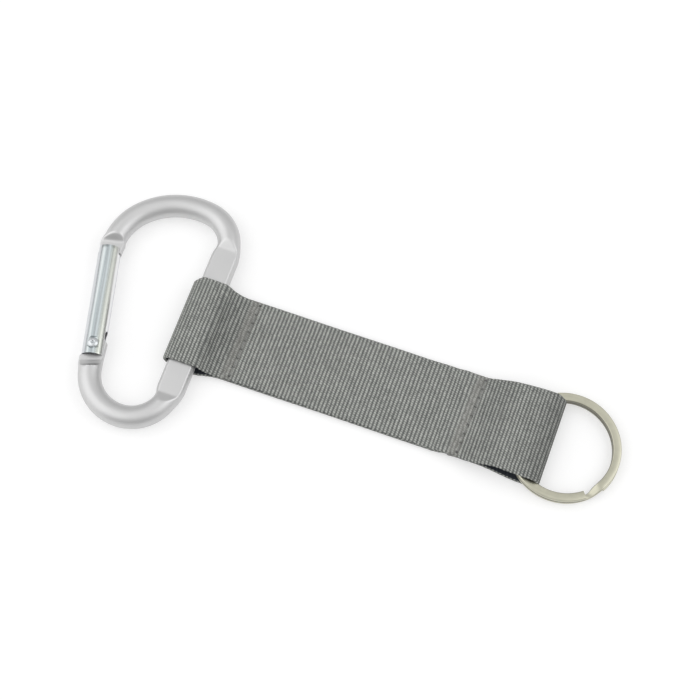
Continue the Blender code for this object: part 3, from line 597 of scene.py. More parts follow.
quarter = [angle_at(SEAM_HALF, SLEEVE_OUTER), angle_at(SLOT_HALF, SLEEVE_OUTER), math.pi / 2]
quarter_in = [angle_at(SEAM_HALF, SLEEVE_INNER), angle_at(SLOT_HALF, SLEEVE_INNER), math.pi / 2]
marks = quarter + [math.pi - quarter[1], math.pi, math.pi + quarter[1]]
marks += [1.5 * math.pi, 2.0 * math.pi - quarter[1], 2.0 * math.pi - quarter[0]]
marks_in = quarter_in + [math.pi - quarter_in[1], math.pi, math.pi + quarter_in[1]]
marks_in += [1.5 * math.pi, 2.0 * math.pi - quarter_in[1], 2.0 * math.pi - quarter_in[0]]
round_outer = np.concatenate(
    [steps(a, b, 0.065) for a, b in zip(marks, marks[1:])] + [[marks[-1]]]
)
round_inner = np.interp(round_outer, marks, marks_in)
heights = np.concatenate([
    steps(sleeve_foot, -1.8 * MM, 0.35 * MM),
    steps(-1.8 * MM, 1.8 * MM, 0.15 * MM),
    steps(1.8 * MM, 4.2 * MM, 0.6 * MM),
    steps(4.2 * MM, slot_head, 1.0 * MM),
    steps(slot_head, 22.8 * MM, 1.1 * MM),
    steps(22.8 * MM, 26.3 * MM, 0.2 * MM),
    steps(26.3 * MM, slot_floor, 0.7 * MM),
    steps(slot_floor, sleeve_top, 1.0 * MM),
    [sleeve_top],
])


def sleeve_surface(radius, angles, flats):
    angle, level = np.meshgrid(angles, heights)
    from_side = np.abs(angle - math.pi) * radius
    hollow = 1.0 - smooth_share(np.hypot(from_side, level - DIMPLE_AT), 0.3 * MM, 1.3 * MM)
    reach = radius - DIMPLE_DEPTH * hollow
    across = reach * np.cos(angle)
    tall = reach * np.sin(angle)
    if flats:
        near = np.hypot(across, level) < FLAT_RADIUS
        held = np.sign(tall) * np.minimum(np.abs(tall), FLAT_HEIGHT)
        tall = np.where(near, held, tall)
    cut = np.clip(np.abs(radius * np.sin(angle)) - (SLOT_HALF - SLOT_CORNER), 0.0, SLOT_CORNER)
    inside = np.abs(radius * np.sin(angle)) < SLOT_HALF + 1e-9
    at_head = np.isclose(level, slot_head) & inside & (np.cos(angle) > 0.0)
    at_floor = np.isclose(level, slot_floor) & inside
    level = level - np.where(at_head, cut, 0.0) + np.where(at_floor, cut * 0.5, 0.0)
    return np.stack([across + SLEEVE_SHIFT, level, tall], axis=-1)


def shell(name, outer, inner, present, material, kept):
    """A sheet with thickness, walled round each cell that is missing."""
    rows, columns = outer.shape[:2]
    outside = np.arange(rows * columns).reshape(rows, columns)
    inside = outside + rows * columns
    padded = np.pad(present, 1)
    faces = []
    for i, j in zip(*np.nonzero(present)):
        loop = [(i, j), (i, j + 1), (i + 1, j + 1), (i + 1, j)]
        faces.append([outside[c] for c in loop])
        faces.append([inside[c] for c in reversed(loop)])
        beside = (padded[i, j + 1], padded[i + 1, j + 2], padded[i + 2, j + 1], padded[i + 1, j])
        for k, other in enumerate(beside):
            if not other:
                a, b = loop[k], loop[(k + 1) % 4]
                faces.append([outside[b], outside[a], inside[a], inside[b]])
    mesh = bpy.data.meshes.new(name)
    mesh.from_pydata(np.concatenate([outer.reshape(-1, 3), inner.reshape(-1, 3)]), [], faces)
    keep_numbers(mesh, *kept)
    shape = bmesh.new()
    shape.from_mesh(mesh)
    bmesh.ops.delete(shape, geom=[v for v in shape.verts if not v.link_faces], context="VERTS")
    bmesh.ops.recalc_face_normals(shape, faces=shape.faces)
    shape.to_mesh(mesh)
    shape.free()
    return object_from(name, mesh, material)


middle_angle = (round_outer[:-1] + round_outer[1:]) / 2
middle_level = (heights[:-1] + heights[1:]) / 2
cell_angle, cell_level = np.meshgrid(middle_angle, middle_level)
in_slot = np.abs(SLEEVE_OUTER * np.sin(cell_angle)) < SLOT_HALF
hinge_slot = in_slot & (cell_level < slot_head) & (np.cos(cell_angle) > 0.0)
nose_slot = in_slot & (cell_level > slot_floor)
present = ~(hinge_slot | nose_slot)
print("gate cells kept:", int(present.sum()), "of", present.size)

# %% [markdown]
# ## Zinc plate
# The gate is steel with a bright, slightly blue zinc plate. The strip was drawn
# before it was rolled, which leaves fine lines along the tube. They are noise
# stretched far along the gate, and they smear a reflection across the tube.
# Pale and dark bands along the tube, one of them bluer, are painted reflections
# from a colour ramp read round the tube. The inside of the tube is rougher, and
# painted near black as shade.

# %% Plate the gate
zinc = Finish("bright_zinc", metallic=1.0)
sleeve_kept, (sleeve_round, sleeve_level, sleeve_side) = zinc.stored("sleeve_place")
hairs = zinc.noise(zinc.stretch(sleeve_kept, (9.0, 0.12, 0.0)), 1.0, 4.0, 0.65)
bands = zinc.noise(zinc.stretch(sleeve_kept, (1.1, 0.03, 0.0)), 1.0, 2.0)
spots = zinc.noise(zinc.place(), 0.9, 3.0)
# The colour ramp paints reflections: pale and dark bands that run along the tube, read round it, one of them
# bluer.
film = zinc.add("ValToRGB", {"stops": (
    (0.00, (0.64, 0.64, 0.68)), (0.08, (0.80, 0.81, 0.82)), (0.18, (0.86, 0.86, 0.86)),
    (0.25, (0.72, 0.74, 0.69)), (0.31, (0.72, 0.74, 0.69)), (0.36, (0.38, 0.40, 0.37)),
    (0.46, (0.73, 0.80, 0.82)), (0.53, (0.33, 0.36, 0.37)), (0.56, (0.36, 0.40, 0.41)),
    (0.63, (0.59, 0.63, 0.63)), (0.685, (0.35, 0.37, 0.38)), (0.76, (0.64, 0.66, 0.68)),
    (1.00, (0.77, 0.77, 0.79)),
)}, {0: (sleeve_round + (bands - 0.5) * 1.1) / (math.pi * SLEEVE_OUTER / MM)})
streaked = zinc.blend(bands * 0.6 + spots * 0.4, (0.86, 0.86, 0.86), (1.1, 1.1, 1.1))
bright = zinc.add(
    "Mix", {"data_type": "RGBA", "blend_type": "MULTIPLY"},
    {0: 1.0, 6: film.outputs[0], 7: streaked},
)
# The inside of the tube is painted near black as shade, and is rougher.
painted_shade_inside = zinc.blend(sleeve_side, bright.outputs[2], (0.10, 0.10, 0.11))
zinc.set("Base Color", painted_shade_inside)
zinc.set("Roughness", 0.13 + hairs * 0.14 + spots * 0.06 + sleeve_side * 0.4)
zinc.relief(hairs, 0.015 * MM, 0.5)

sleeve_numbers = np.stack([
    np.broadcast_to(round_outer * SLEEVE_OUTER / MM, (len(heights), len(round_outer))),
    np.broadcast_to(heights[:, None] / MM, (len(heights), len(round_outer))),
    np.zeros((len(heights), len(round_outer))),
], axis=-1)
inside_numbers = sleeve_numbers.copy()
inside_numbers[:, :, 2] = 1.0
sleeve = shell(
    "gate_tube",
    sleeve_surface(SLEEVE_OUTER, round_outer, True),
    sleeve_surface(SLEEVE_INNER, round_inner, False),
    present,
    zinc.material,
    ("sleeve_place", np.stack([sleeve_numbers, inside_numbers])),
)
sleeve.data.transform(GATE_FRAME)
rim = sleeve.modifiers.new("rim", "BEVEL")
rim.width = 0.07 * MM
rim.segments = 2
rim.limit_method = "ANGLE"
rim.angle_limit = math.radians(50.0)
settle(sleeve)
sleeve.data.shade_smooth()
sleeve.data.set_sharp_from_angle(angle=math.radians(50.0))
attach(sleeve, "gate")
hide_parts("gate_sleeve")
print("gate tube:", len(sleeve.data.polygons), "faces")

# %% [markdown]
# ## The rivet
# A short pin with a broad head on each end holds the gate to the lug. It is
# turned from a profile, as on a lathe. The punch left a pit in the middle of
# each head, and both heads lie in small flats that it left in the tube.

# %% Turn the rivet
RIVET_SHANK = 1.0 * MM
RIVET_HEAD = 1.5 * MM
RIVET_SEAT = 2.86 * MM
RIVET_TOP = 3.42 * MM
RIVET_PIT = 0.62 * MM
RIVET_PIT_DEPTH = 0.5 * MM

share = np.linspace(0.0, 1.0, 24)
head_r = RIVET_HEAD * np.sin(share[::-1] * math.pi / 2)
low_rim = RIVET_SEAT + 0.08 * MM
head_z = low_rim + (RIVET_TOP - low_rim) * (1.0 - (head_r / RIVET_HEAD)**3)
head_z -= RIVET_PIT_DEPTH * (1.0 - smooth_share(head_r, 0.0, RIVET_PIT))
head_r[-1] = 0.02 * MM
radii = np.concatenate([[RIVET_SHANK, RIVET_SHANK, RIVET_HEAD * 0.96, RIVET_HEAD], head_r])
levels = np.concatenate([[0.0, RIVET_SEAT, RIVET_SEAT, RIVET_SEAT + 0.06 * MM], head_z])
radii = np.concatenate([radii[::-1], radii[1:]])
levels = np.concatenate([-levels[::-1], levels[1:]])
round_rivet = 2.0 * math.pi * np.arange(48) / 48
rivet_rows = np.stack([
    radii[:, None] * np.cos(round_rivet),
    radii[:, None] * np.sin(round_rivet),
    np.broadcast_to(levels[:, None], (len(levels), 48)),
], axis=-1)
rivet_metal = Finish("rivet_zinc", metallic=1.0)
rivet_noise = rivet_metal.noise(rivet_metal.place(), 3.0, 3.0)
rivet_metal.set("Base Color", rivet_metal.blend(rivet_noise, (0.50, 0.53, 0.55), (0.72, 0.74, 0.75)))
rivet_metal.set("Roughness", 0.18 + rivet_noise * 0.2)
rivet_metal.relief(rivet_noise, 0.02 * MM, 0.4)
rivet_piece = skin("rivet", [rivet_rows], rivet_metal.material)
rivet_piece.data.transform(GATE_FRAME)
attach(rivet_piece, "gate")
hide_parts("gate_rivet")

# %% [markdown]
# ## Spring and plunger
# These two are inside the gate and show only through its slot. The plunger's
# solid is already the right shape, so it stays and gets a finish: drawn steel
# with a thin film of oil, a little browner in places. The spring is wound anew,
# because a solid can't grow shorter when the gate opens, and a mesh can.

# %% Wind the spring and finish the plunger
SPRING_START = 3.05 * MM
SPRING_LENGTH = 20.0 * MM
SPRING_COILS = 14
SPRING_RADIUS = 1.75 * MM
SPRING_WIRE = 0.2 * MM

steel = Finish("oiled_steel", metallic=1.0)
film = steel.noise(steel.place(), 1.3, 4.0)
lines = steel.noise(steel.stretch(steel.place(), (14.0, 3.0, 14.0)), 1.0, 2.0)
steel.set("Base Color", steel.blend(film, (0.38, 0.37, 0.35), (0.58, 0.59, 0.60)))
steel.set("Roughness", 0.2 + film * 0.2 + lines * 0.08)
steel.relief(lines, 0.01 * MM, 0.4)
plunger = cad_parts["gate_plunger"]
for place in range(len(plunger.material_slots)):
    plunger.material_slots[place].material = steel.material

coil = np.linspace(0.0, 2.0 * math.pi * SPRING_COILS, SPRING_COILS * 24 + 1)[:, None, None]
round_wire = 2.0 * math.pi * np.arange(8)[:, None] / 8
reach = SPRING_RADIUS + SPRING_WIRE * np.cos(round_wire)
advance = (SPRING_LENGTH - 2.0 * SPRING_WIRE) * coil / coil[-1]
spring_rows = np.concatenate([
    reach * np.cos(coil),
    SPRING_START + SPRING_WIRE + advance + SPRING_WIRE * np.sin(round_wire),
    reach * np.sin(coil),
], axis=-1)
spring = skin("spring_wire", [spring_rows], steel.material)
spring.data.transform(GATE_FRAME)
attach(spring, "gate")
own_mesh(spring)
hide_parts("gate_spring")

# %% [markdown]
# ## The split ring
# The ring is flattened wire wound twice round and stepping down once, so a key
# can be worked between the turns. A torus would hide this. The wire's section
# is carried round two turns, with the step, and both ends are cut square.

# %% Wind the split ring
RING_OUTER = 15.8 * MM
WIRE_WIDTH = 2.4 * MM
RING_TALL = 2.8 * MM
TURN_GAP = 0.15 * MM
WIRE_EDGE = 0.34 * MM
RING_START = math.radians(-50.3)
RING_STEP = math.radians(21.3)
PINCH = 0.9 * MM
SPRUNG_OUT = 0.22 * MM
RING_TILT = math.radians(3.335)
RING_PIVOT = 80.067 * MM

wire_tall = (RING_TALL - TURN_GAP) / 2
corners = []
for u, w, first in ((1, 1, 0), (-1, 1, 90), (-1, -1, 180), (1, -1, 270)):
    for k in range(5):
        bend = math.radians(first + 22.5 * k)
        corners.append((
            u * (WIRE_WIDTH / 2 - WIRE_EDGE) + WIRE_EDGE * math.cos(bend),
            w * (wire_tall / 2 - WIRE_EDGE) + WIRE_EDGE * math.sin(bend),
        ))
corners = np.array(corners)
full = 2.0 * math.pi
wound = np.concatenate([
    np.linspace(0.0, full - RING_STEP, 300),
    np.linspace(full - RING_STEP, full, 24)[1:],
    np.linspace(full, 2.0 * full - RING_STEP, 300)[1:],
])
upper = wire_tall * 1.5 + TURN_GAP
lower = wire_tall * 0.5
landing = full - math.radians(3.0)
ring_level = upper + (lower - upper) * smooth_share(wound, full - RING_STEP, landing)
bearing = RING_START - wound
last = 2.0 * full - RING_STEP
pinched = PINCH * np.exp(-((wound - landing) / math.radians(7.0))**2)[:, None]
sprung = SPRUNG_OUT * smooth_share(wound, last - math.radians(50.0), last)[:, None]
radius = RING_OUTER - WIRE_WIDTH / 2 + corners[:, 0] + sprung
radius = radius + pinched * (0.5 - corners[:, 0] / WIRE_WIDTH)
# covered, times the wire's height, is high on the faces where the two turns lie against each other; the finish
# paints shade there.
covered = 2.0 * smooth_share(wound, full - math.radians(4.0), full + math.radians(1.0)) - 1.0
covered = covered * (1.0 - smooth_share(wound, last - math.radians(60.0), last))
ring_rows = np.stack([
    radius * np.cos(bearing)[:, None],
    radius * np.sin(bearing)[:, None],
    ring_level[:, None] + corners[:, 1],
], axis=-1)
ring_place = np.stack([
    np.broadcast_to(wound[:, None] * RING_OUTER / MM, ring_rows.shape[:2]),
    np.broadcast_to(corners[:, 0] / MM, ring_rows.shape[:2]),
    covered[:, None] * corners[:, 1] / MM,
], axis=-1)
print("ring stations:", len(wound))

# %% [markdown]
# ## Nickel plate
# Nickel is warmer than zinc or aluminium. The wire was rolled flat, so fine
# lines run round the ring, and its faces are a little dull from tumbling with
# other rings. The inner edge is darker, and shade is painted on the faces where
# the two turns lie against each other.

# %% Plate the ring
nickel = Finish("nickel_plate", metallic=1.0)
ring_kept, (ring_run, ring_wide, ring_high) = nickel.stored("ring_place")
ring_hairs = nickel.noise(nickel.stretch(ring_kept, (0.1, 7.0, 7.0)), 1.0, 3.0, 0.6)
ring_cloud = nickel.noise(nickel.place(), 0.5, 4.0, 0.6)
nicks = nickel.noise(nickel.place(), 4.0, 2.0)
outer_band = nickel.fade(ring_wide, 0.1, 0.7)
plated = nickel.blend(
    ring_cloud * 0.5 + ring_hairs * 0.35 + outer_band * 0.15,
    (0.41, 0.402, 0.322), (0.63, 0.616, 0.50),
)
inner_edge = nickel.fade(ring_wide, -1.2, -0.98, 0.8, 0.0)
# Painted shade: the faces where the two turns lie against each other are darkened.
between = nickel.fade(ring_high, 0.3, 0.6)
inner_edge_and_painted_shade = inner_edge.maths("MAXIMUM", inner_edge, between)
nickel.set("Base Color", nickel.blend(inner_edge_and_painted_shade, plated, (0.13, 0.125, 0.10)))
nickel.set("Roughness", 0.20 + ring_hairs * 0.12 + ring_cloud * 0.10)
nickel.relief(ring_hairs * 0.6 + nicks * 0.4, 0.02 * MM, 0.4)
ring = skin("ring_wire", [ring_rows], nickel.material, {"ring_place": [ring_place]})
lean_about = Matrix.Translation((RING_PIVOT, 0.0, 0.0)) @ Matrix.Rotation(RING_TILT, 4, "Y")
ring.data.transform(lean_about @ Matrix.Translation((-RING_OUTER, 0.0, 0.0)))
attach(ring, "ring")
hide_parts("split_ring")

# %% [markdown]
# ## The way of the strip
# The strap is one strip of webbing. It starts inside the ring seam, runs back
# under the strap, goes round the spine, along the top, over the ring and back
# under the seam. Its side view is drawn with a pen that turns and moves ahead,
# which keeps its length true.

# %% Draw the strip's side view
HALF_CLOTH = 0.5 * MM
LAYER = 1.15 * MM
SPINE_SEAM = 14.0 * MM
RING_SEAM = 81.7 * MM
TAIL = 3.0 * MM
FOLD = 104.3 * MM
PEN_STEP = 0.04 * MM
LEVEL = {"first": 0.5 * MM, "second": 1.65 * MM, "third": 2.8 * MM}
OVER_SPINE = 6.1 * MM
HUMP = 5.734 * MM


class Pen:
    """Draws in the side view. A heading of 0 points along +X."""

    def __init__(self, x, z, heading):
        self.marks = [(0.0, x, z, heading)]

    def move(self, length, bend=0.0):
        count = max(2, math.ceil(length / PEN_STEP))
        for _ in range(count):
            run, x, z, heading = self.marks[-1]
            middle = heading + bend / count / 2
            step = length / count
            self.marks.append((
                run + step, x + step * math.cos(middle), z + step * math.sin(middle),
                heading + bend / count,
            ))

    def reach(self, x):
        self.move((x - self.marks[-1][1]) / math.cos(self.marks[-1][3]))

    def turn(self, angle, radius):
        self.move(abs(angle) * radius, angle)

    def shift(self, rise, angle, first, last):
        """An S that changes height by rise."""
        side = math.copysign(1.0, rise)
        self.turn(side * angle, first)
        self.move((abs(rise) - (first + last) * (1 - math.cos(angle))) / math.sin(angle))
        self.turn(-side * angle, last)


STEP_ANGLE = math.radians(20.0)
STEP_BEND = 3.0 * MM
step_straight = (LAYER - 2 * STEP_BEND * (1 - math.cos(STEP_ANGLE))) / math.sin(STEP_ANGLE)
step_run = 2 * STEP_BEND * math.sin(STEP_ANGLE) + step_straight * math.cos(STEP_ANGLE)
step_end = RING_SEAM - TAIL - 0.3 * MM
pen = Pen(RING_SEAM + TAIL, LEVEL["second"], math.pi)
pen.reach(step_end)
pen.shift(LAYER, STEP_ANGLE, STEP_BEND, STEP_BEND)
fold_bend = (OVER_SPINE - LEVEL["first"]) / 2
pen.reach(-SPINE_HALF_WIDTH - 0.6 * MM + fold_bend - HALF_CLOTH)
spine_fold = (pen.marks[-1][0], pen.marks[-1][0] + math.pi * fold_bend)
pen.turn(-math.pi, fold_bend)
pen.reach(3.6 * MM)
pen.shift(LEVEL["second"] - OVER_SPINE, math.radians(60.0), 1.6 * MM, 7.0 * MM)
pen.reach(step_end - 0.5 * MM - step_run)
pen.shift(LAYER, STEP_ANGLE, STEP_BEND, STEP_BEND)
pen.reach(RING_SEAM + 0.4 * MM)
rise_angle = math.radians(22.0)
hump_bend = 9.0 * MM
pen.turn(rise_angle, 5.0 * MM)
climb = HUMP - LEVEL["third"] - (5.0 * MM + hump_bend) * (1 - math.cos(rise_angle))
pen.move(climb / math.sin(rise_angle))
pen.turn(-rise_angle, hump_bend)
corner_bend = 2.6 * MM
run_now, x_now, z_now, heading_now = pen.marks[-1]
fold_corner = (FOLD + 0.3 * MM + HALF_CLOTH - corner_bend, LEVEL["first"] + corner_bend)
gap_x = fold_corner[0] - x_now
gap_z = fold_corner[1] - (z_now - hump_bend)
slide = math.sqrt(gap_x**2 + gap_z**2 - (corner_bend - hump_bend)**2)
down = math.atan2(gap_z, gap_x) + math.atan2(corner_bend - hump_bend, slide)
pen.turn(down, hump_bend)
pen.move(slide)
pen.turn(-math.pi / 2 - down, corner_bend)
pen.move(pen.marks[-1][2] - LEVEL["first"] - corner_bend)
pen.turn(-math.pi / 2, corner_bend)
ring_fold = pen.marks[-1][0]
pen.reach(RING_SEAM - TAIL)
way = np.array(pen.marks)

# %% [markdown]
# ## Weaving the surface
# The webbing is woven with thick bars across and fine yarns along, which gives
# even ribs. The ribs are real shape here, six rows of points to each, because
# they show in the strap's outline. The much finer yarns are left to the finish.
# The strap bends at two joints, so it is made in two lengths that meet in a
# groove between ribs.

# %% Weave the strip
RIB = 1.08 * MM
ROWS_PER_RIB = 6
CLOTH_HALF_WIDTH = 12.5 * MM
GROOVE = 0.13 * MM
COLUMN = 0.5 * MM
CARABINER_SLANT = 0.4 * MM
RING_SLANT = 0.55 * MM
STITCHES = 8
SEAM_MARGIN = 1.2 * MM

holes = np.linspace(SEAM_MARGIN - CLOTH_HALF_WIDTH, CLOTH_HALF_WIDTH - SEAM_MARGIN, STITCHES + 1)
flat_half = CLOTH_HALF_WIDTH - HALF_CLOTH
across_top = np.linspace(-flat_half, flat_half, round(2 * flat_half / COLUMN) + 1)
edge_turn = np.linspace(math.pi / 2, -math.pi / 2, 7)[1:-1]
section_y = np.concatenate([
    across_top,
    flat_half + HALF_CLOTH * np.cos(edge_turn),
    across_top[::-1],
    -flat_half - HALF_CLOTH * np.cos(edge_turn),
])
section_w = np.concatenate([
    np.ones(len(across_top)),
    np.sin(edge_turn),
    -np.ones(len(across_top)),
    -np.sin(edge_turn),
]) * HALF_CLOTH


def seam_line(seam, slant, y):
    return seam + slant * y / CLOTH_HALF_WIDTH


def past_edges(x, top):
    """How far the cloth reaches past its plain width, far and near, at x."""
    mm = x / MM
    far = 0.55 * (1.0 - smooth_share(mm, 0.0, 11.0)) - 1.4 * smooth_share(-mm, 2.4, 5.4)
    far = far + 0.2 * smooth_share(mm, 64.0, 72.0) - 0.3 * smooth_share(mm, 75.0, 79.0)
    far = far + 0.2 * smooth_share(mm, 82.0, 86.0) + 0.9 * smooth_share(mm, 84.0, 101.0)
    far = far - 0.6 * smooth_share(mm, 102.3, 104.9)
    over = 0.1 + 0.75 * (1.0 - smooth_share(mm, 3.0, 14.0)) + 0.45 * smooth_share(mm, 86.0, 98.0)
    over = over + 0.55 * (smooth_share(mm, 80.0, 84.0) - smooth_share(mm, 88.0, 94.0))
    under = 0.2 + 0.65 * (1.0 - smooth_share(mm, -2.0, 12.0)) + 0.9 * np.exp(-((mm - 3.5) / 4.0)**2)
    under = under - 0.4 * smooth_share(mm, 76.0, 82.0) + 1.05 * smooth_share(mm, 87.0, 100.0)
    return far * MM, np.where(top, over, under) * MM


def rib_crowding(x):
    """Ribs close up where the cloth is folded and part where it hollows."""
    mm = x / MM
    crowd = 0.05 + 0.22 * (1.0 - smooth_share(mm, -4.0, 0.0)) - 0.19 * smooth_share(mm, 2.0, 5.0)
    crowd = crowd + 0.15 * smooth_share(mm, 9.0, 14.0) - 0.03 * smooth_share(mm, 40.0, 60.0)
    return crowd + 0.04 * smooth_share(mm, 80.0, 84.0) + 0.06 * smooth_share(mm, 88.0, 93.0)


def painted_shade_share(mm, across):
    """The share of painted shade on the cloth, x mm from the spine: in the hollow, over the ring and at the
    fold.
    """
    hollow = smooth_share(mm, 0.5, 6.0) - smooth_share(mm, 12.0, 15.0)
    lifted = smooth_share(mm, 82.5, 84.5) - smooth_share(mm, 90.0, 93.0)
    folded = 0.09 * smooth_share(mm, 94.0, 97.0) + 0.2 * smooth_share(mm, 98.0, 104.0)
    return hollow * (0.19 - 0.12 * across**2) + 0.11 * lifted + folded


on_top = (way[:, 0] > spine_fold[0]) & (way[:, 0] < ring_fold)
per_rib = (1.0 + np.where(on_top, rib_crowding(way[:, 1]), 0.0)) / RIB
rib_count = np.concatenate([[0.0], np.cumsum(per_rib[1:] * np.diff(way[:, 0]))])


def length_of_cloth(start, stop):
    """Points and kept numbers for the strip between two places, counted in ribs."""
    ribs = np.linspace(start, stop, round((stop - start) * ROWS_PER_RIB) + 1)
    run = np.interp(ribs, rib_count, way[:, 0])
    x, z, heading = (np.interp(run, way[:, 0], way[:, k]) for k in (1, 2, 3))
    rib = np.cos(math.pi * ribs)**2
    groove = (1.0 - rib)[:, None] * GROOVE
    y = np.broadcast_to(section_y, (len(run), len(section_y)))
    w = section_w * (1.0 - groove / HALF_CLOTH)
    edge = np.clip(np.abs(y) - flat_half, 0.0, HALF_CLOTH) / HALF_CLOTH
    y = y - np.sign(y) * edge * groove * 0.5
    far, near = past_edges(x, (run > spine_fold[0]) & (run < ring_fold))
    y = y * (1.0 + np.where(y > 0.0, far[:, None], near[:, None]) / CLOTH_HALF_WIDTH)
    outside = section_w > 0.99 * HALF_CLOTH
    place_x = np.broadcast_to(x[:, None], y.shape)
    dent = np.zeros(y.shape)
    from_seam = np.full(y.shape, 9.0 * MM)
    for seam, slant in ((SPINE_SEAM, CARABINER_SLANT), (RING_SEAM, RING_SLANT)):
        off = place_x - seam_line(seam, slant, y)
        from_seam = np.where(np.abs(off) < np.abs(from_seam), off, from_seam)
        dent += 0.10 * MM * np.exp(-(off / (0.55 * MM))**2)
        for hole in holes:
            far = off**2 + (y - hole)**2
            dent += 0.16 * MM * np.exp(-far / (0.42 * MM)**2)
    w = w - np.where(outside, dent, 0.0)
    drift = 0.03 * MM * np.sin(run / (17.0 * MM)) + 0.03 * MM * np.sin(run / (6.1 * MM) + 1.0)
    normal_x = -np.sin(heading)[:, None]
    normal_z = np.cos(heading)[:, None]
    rows = np.stack([
        place_x + w * normal_x + SPINE_X,
        y + drift[:, None],
        z[:, None] + w * normal_z,
    ], axis=-1)
    numbers = np.stack([
        np.broadcast_to(ribs[:, None], y.shape),
        np.broadcast_to(section_y, y.shape) / MM,
        from_seam / MM,
    ], axis=-1)
    # Painted shade: the cloth's outside is darkened in the hollow, over the ring and at the fold.
    painted_shade = np.where(outside, painted_shade_share(place_x / MM, y / CLOTH_HALF_WIDTH), 0.0)
    # The inner face shows only in the gap between the layers, and is marked to be painted near black as shade.
    inner_face = np.where(section_w < -0.99 * HALF_CLOTH, 1.0, 0.0)
    inner_face = np.broadcast_to(inner_face, y.shape)
    return rows, numbers, np.stack([painted_shade, inner_face, np.zeros(y.shape)], axis=-1)


def groove_under(x, on_part):
    """The groove between ribs that is nearest to x on one part of the way."""
    nearest = np.argmin(np.where(on_part, np.abs(way[:, 1] - x), 1.0))
    return round(rib_count[nearest] - 0.5) + 0.5


lower_cut = groove_under(-SPINE_X, way[:, 0] < spine_fold[0])
upper_cut = groove_under(-SPINE_X, (way[:, 0] > spine_fold[1]) & (way[:, 0] < ring_fold - 20.0 * MM))
left = length_of_cloth(lower_cut, upper_cut)
right = length_of_cloth(upper_cut, rib_count[-1])
under = length_of_cloth(0.0, lower_cut)
print("ribs on the left length:", round(upper_cut - lower_cut))

# %% [markdown]
# ## Grey webbing
# Seen close, each rib is a row of small slanting grains, the places where a
# yarn passes over the thick bar, and the grains of the next rib sit half a step
# aside. The finish builds this from the place along and across that was kept in
# the mesh, so it bends with the cloth. Each grain has its own shade of grey, and
# light and shade are painted on it as well: the grain tops lighter, the grooves
# between ribs darker. Beside a seam the thread pulls the yarns flat and askew,
# and each needle hole is dark. Painted shade darkens the cloth in the hollow,
# over the ring and at the fold, and the inner face, which shows only in the gap
# between the layers, is painted near black as shade.

# %% Dye the webbing and paint its light and shade
YARN = 0.61
webbing = Finish("grey_webbing", metallic=0.0, sheen_weight=0.12, sheen_roughness=0.5)
weave, (bar_place, across_strip, from_seam) = webbing.stored("weave")
painted_shade_kept, (painted_shade, inner_face, painted_shade_none) = webbing.stored("wear")
painted_shade_inner_face = webbing.fade(inner_face, 0.1, 0.6)
pulled = webbing.fade(from_seam, -3.2, -1.8) - webbing.fade(from_seam, 0.2, 1.1)
wander = webbing.noise(webbing.stretch(weave, (0.35, 0.9, 0.0)), 1.0, 2.0)
tangle = webbing.noise(webbing.stretch(weave, (0.9, 0.7, 0.0)), 1.0, 3.0, 0.6)
uneven = webbing.noise(webbing.stretch(weave, (0.9, 0.25, 0.0)), 1.0, 1.0)
bar = bar_place + (tangle - 0.5) * (pulled * 1.1 + 0.12) + (uneven - 0.5) * 0.25
bar_number = (bar + 0.5).maths("FLOOR", bar + 0.5)
odd = bar_number.maths("MODULO", bar_number, 2.0)
lean = (bar - bar_number) * 0.5
yarn_place = across_strip / YARN + odd * 0.5 + lean + (wander - 0.5) * 1.0
rib_top = (bar * (2.0 * math.pi)).maths("COSINE", bar * (2.0 * math.pi)) * 0.5 + 0.5
yarn_turn = yarn_place * (2.0 * math.pi)
yarn_top = yarn_turn.maths("COSINE", yarn_turn) * 0.5 + 0.5
yarn_number = (yarn_place + 0.5).maths("FLOOR", yarn_place + 0.5)
cell = webbing.add("CombineXYZ", None, {0: bar_number, 1: yarn_number, 2: 0.0}).outputs[0]
shade = webbing.wire("TexWhiteNoise", {"noise_dimensions": "3D"}, {"Vector": cell})
streak = webbing.noise(webbing.stretch(weave, (0.05, 1.3, 0.0)), 1.0, 2.0)
cloud_over = webbing.noise(webbing.stretch(weave, (0.12, 0.16, 0.0)), 1.0, 3.0)
fibre = webbing.noise(webbing.stretch(weave, (1.8, 2.4, 0.0)), 1.0, 2.0, 0.7)
grain_top = (rib_top**0.8) * (0.02 + yarn_top * 0.60 + shade * 0.24 + uneven * 0.24)
lit = grain_top * 0.90 + streak * 0.07 + cloud_over * 0.09 + (fibre - 0.5) * 0.7 + 0.01
tone = lit * (1.0 - pulled * 0.2) + pulled * 0.08 + (tangle - 0.5) * pulled * 0.8
hole_turn = (across_strip + (CLOTH_HALF_WIDTH - SEAM_MARGIN) / MM) / ((holes[1] - holes[0]) / MM)
hole_near = hole_turn - (hole_turn + 0.5).maths("FLOOR", hole_turn + 0.5)
hole_off = hole_near * ((holes[1] - holes[0]) / MM)
from_hole = (hole_off * hole_off + from_seam * from_seam)**0.5
hole_dark = 1.0 - webbing.fade(from_hole, 0.15, 0.6)
# Partly painted light and shade: grain tops are lighter and the grooves between ribs darker, beside each grain's
# own shade of grey.
dye_and_painted_rib_shading = webbing.blend(webbing.fade(tone, -0.05, 1.0), (0.085, 0.091, 0.087), (0.56, 0.575, 0.54))
# Painted shade darkens the cloth in the hollow, over the ring and at the fold.
cloth_with_painted_shade = webbing.blend(painted_shade, dye_and_painted_rib_shading, (0.0, 0.0, 0.0))
warmed = webbing.blend(pulled * 0.35, cloth_with_painted_shade, (0.27, 0.26, 0.24))
pierced = webbing.blend(hole_dark * 0.85, warmed, (0.03, 0.03, 0.032))
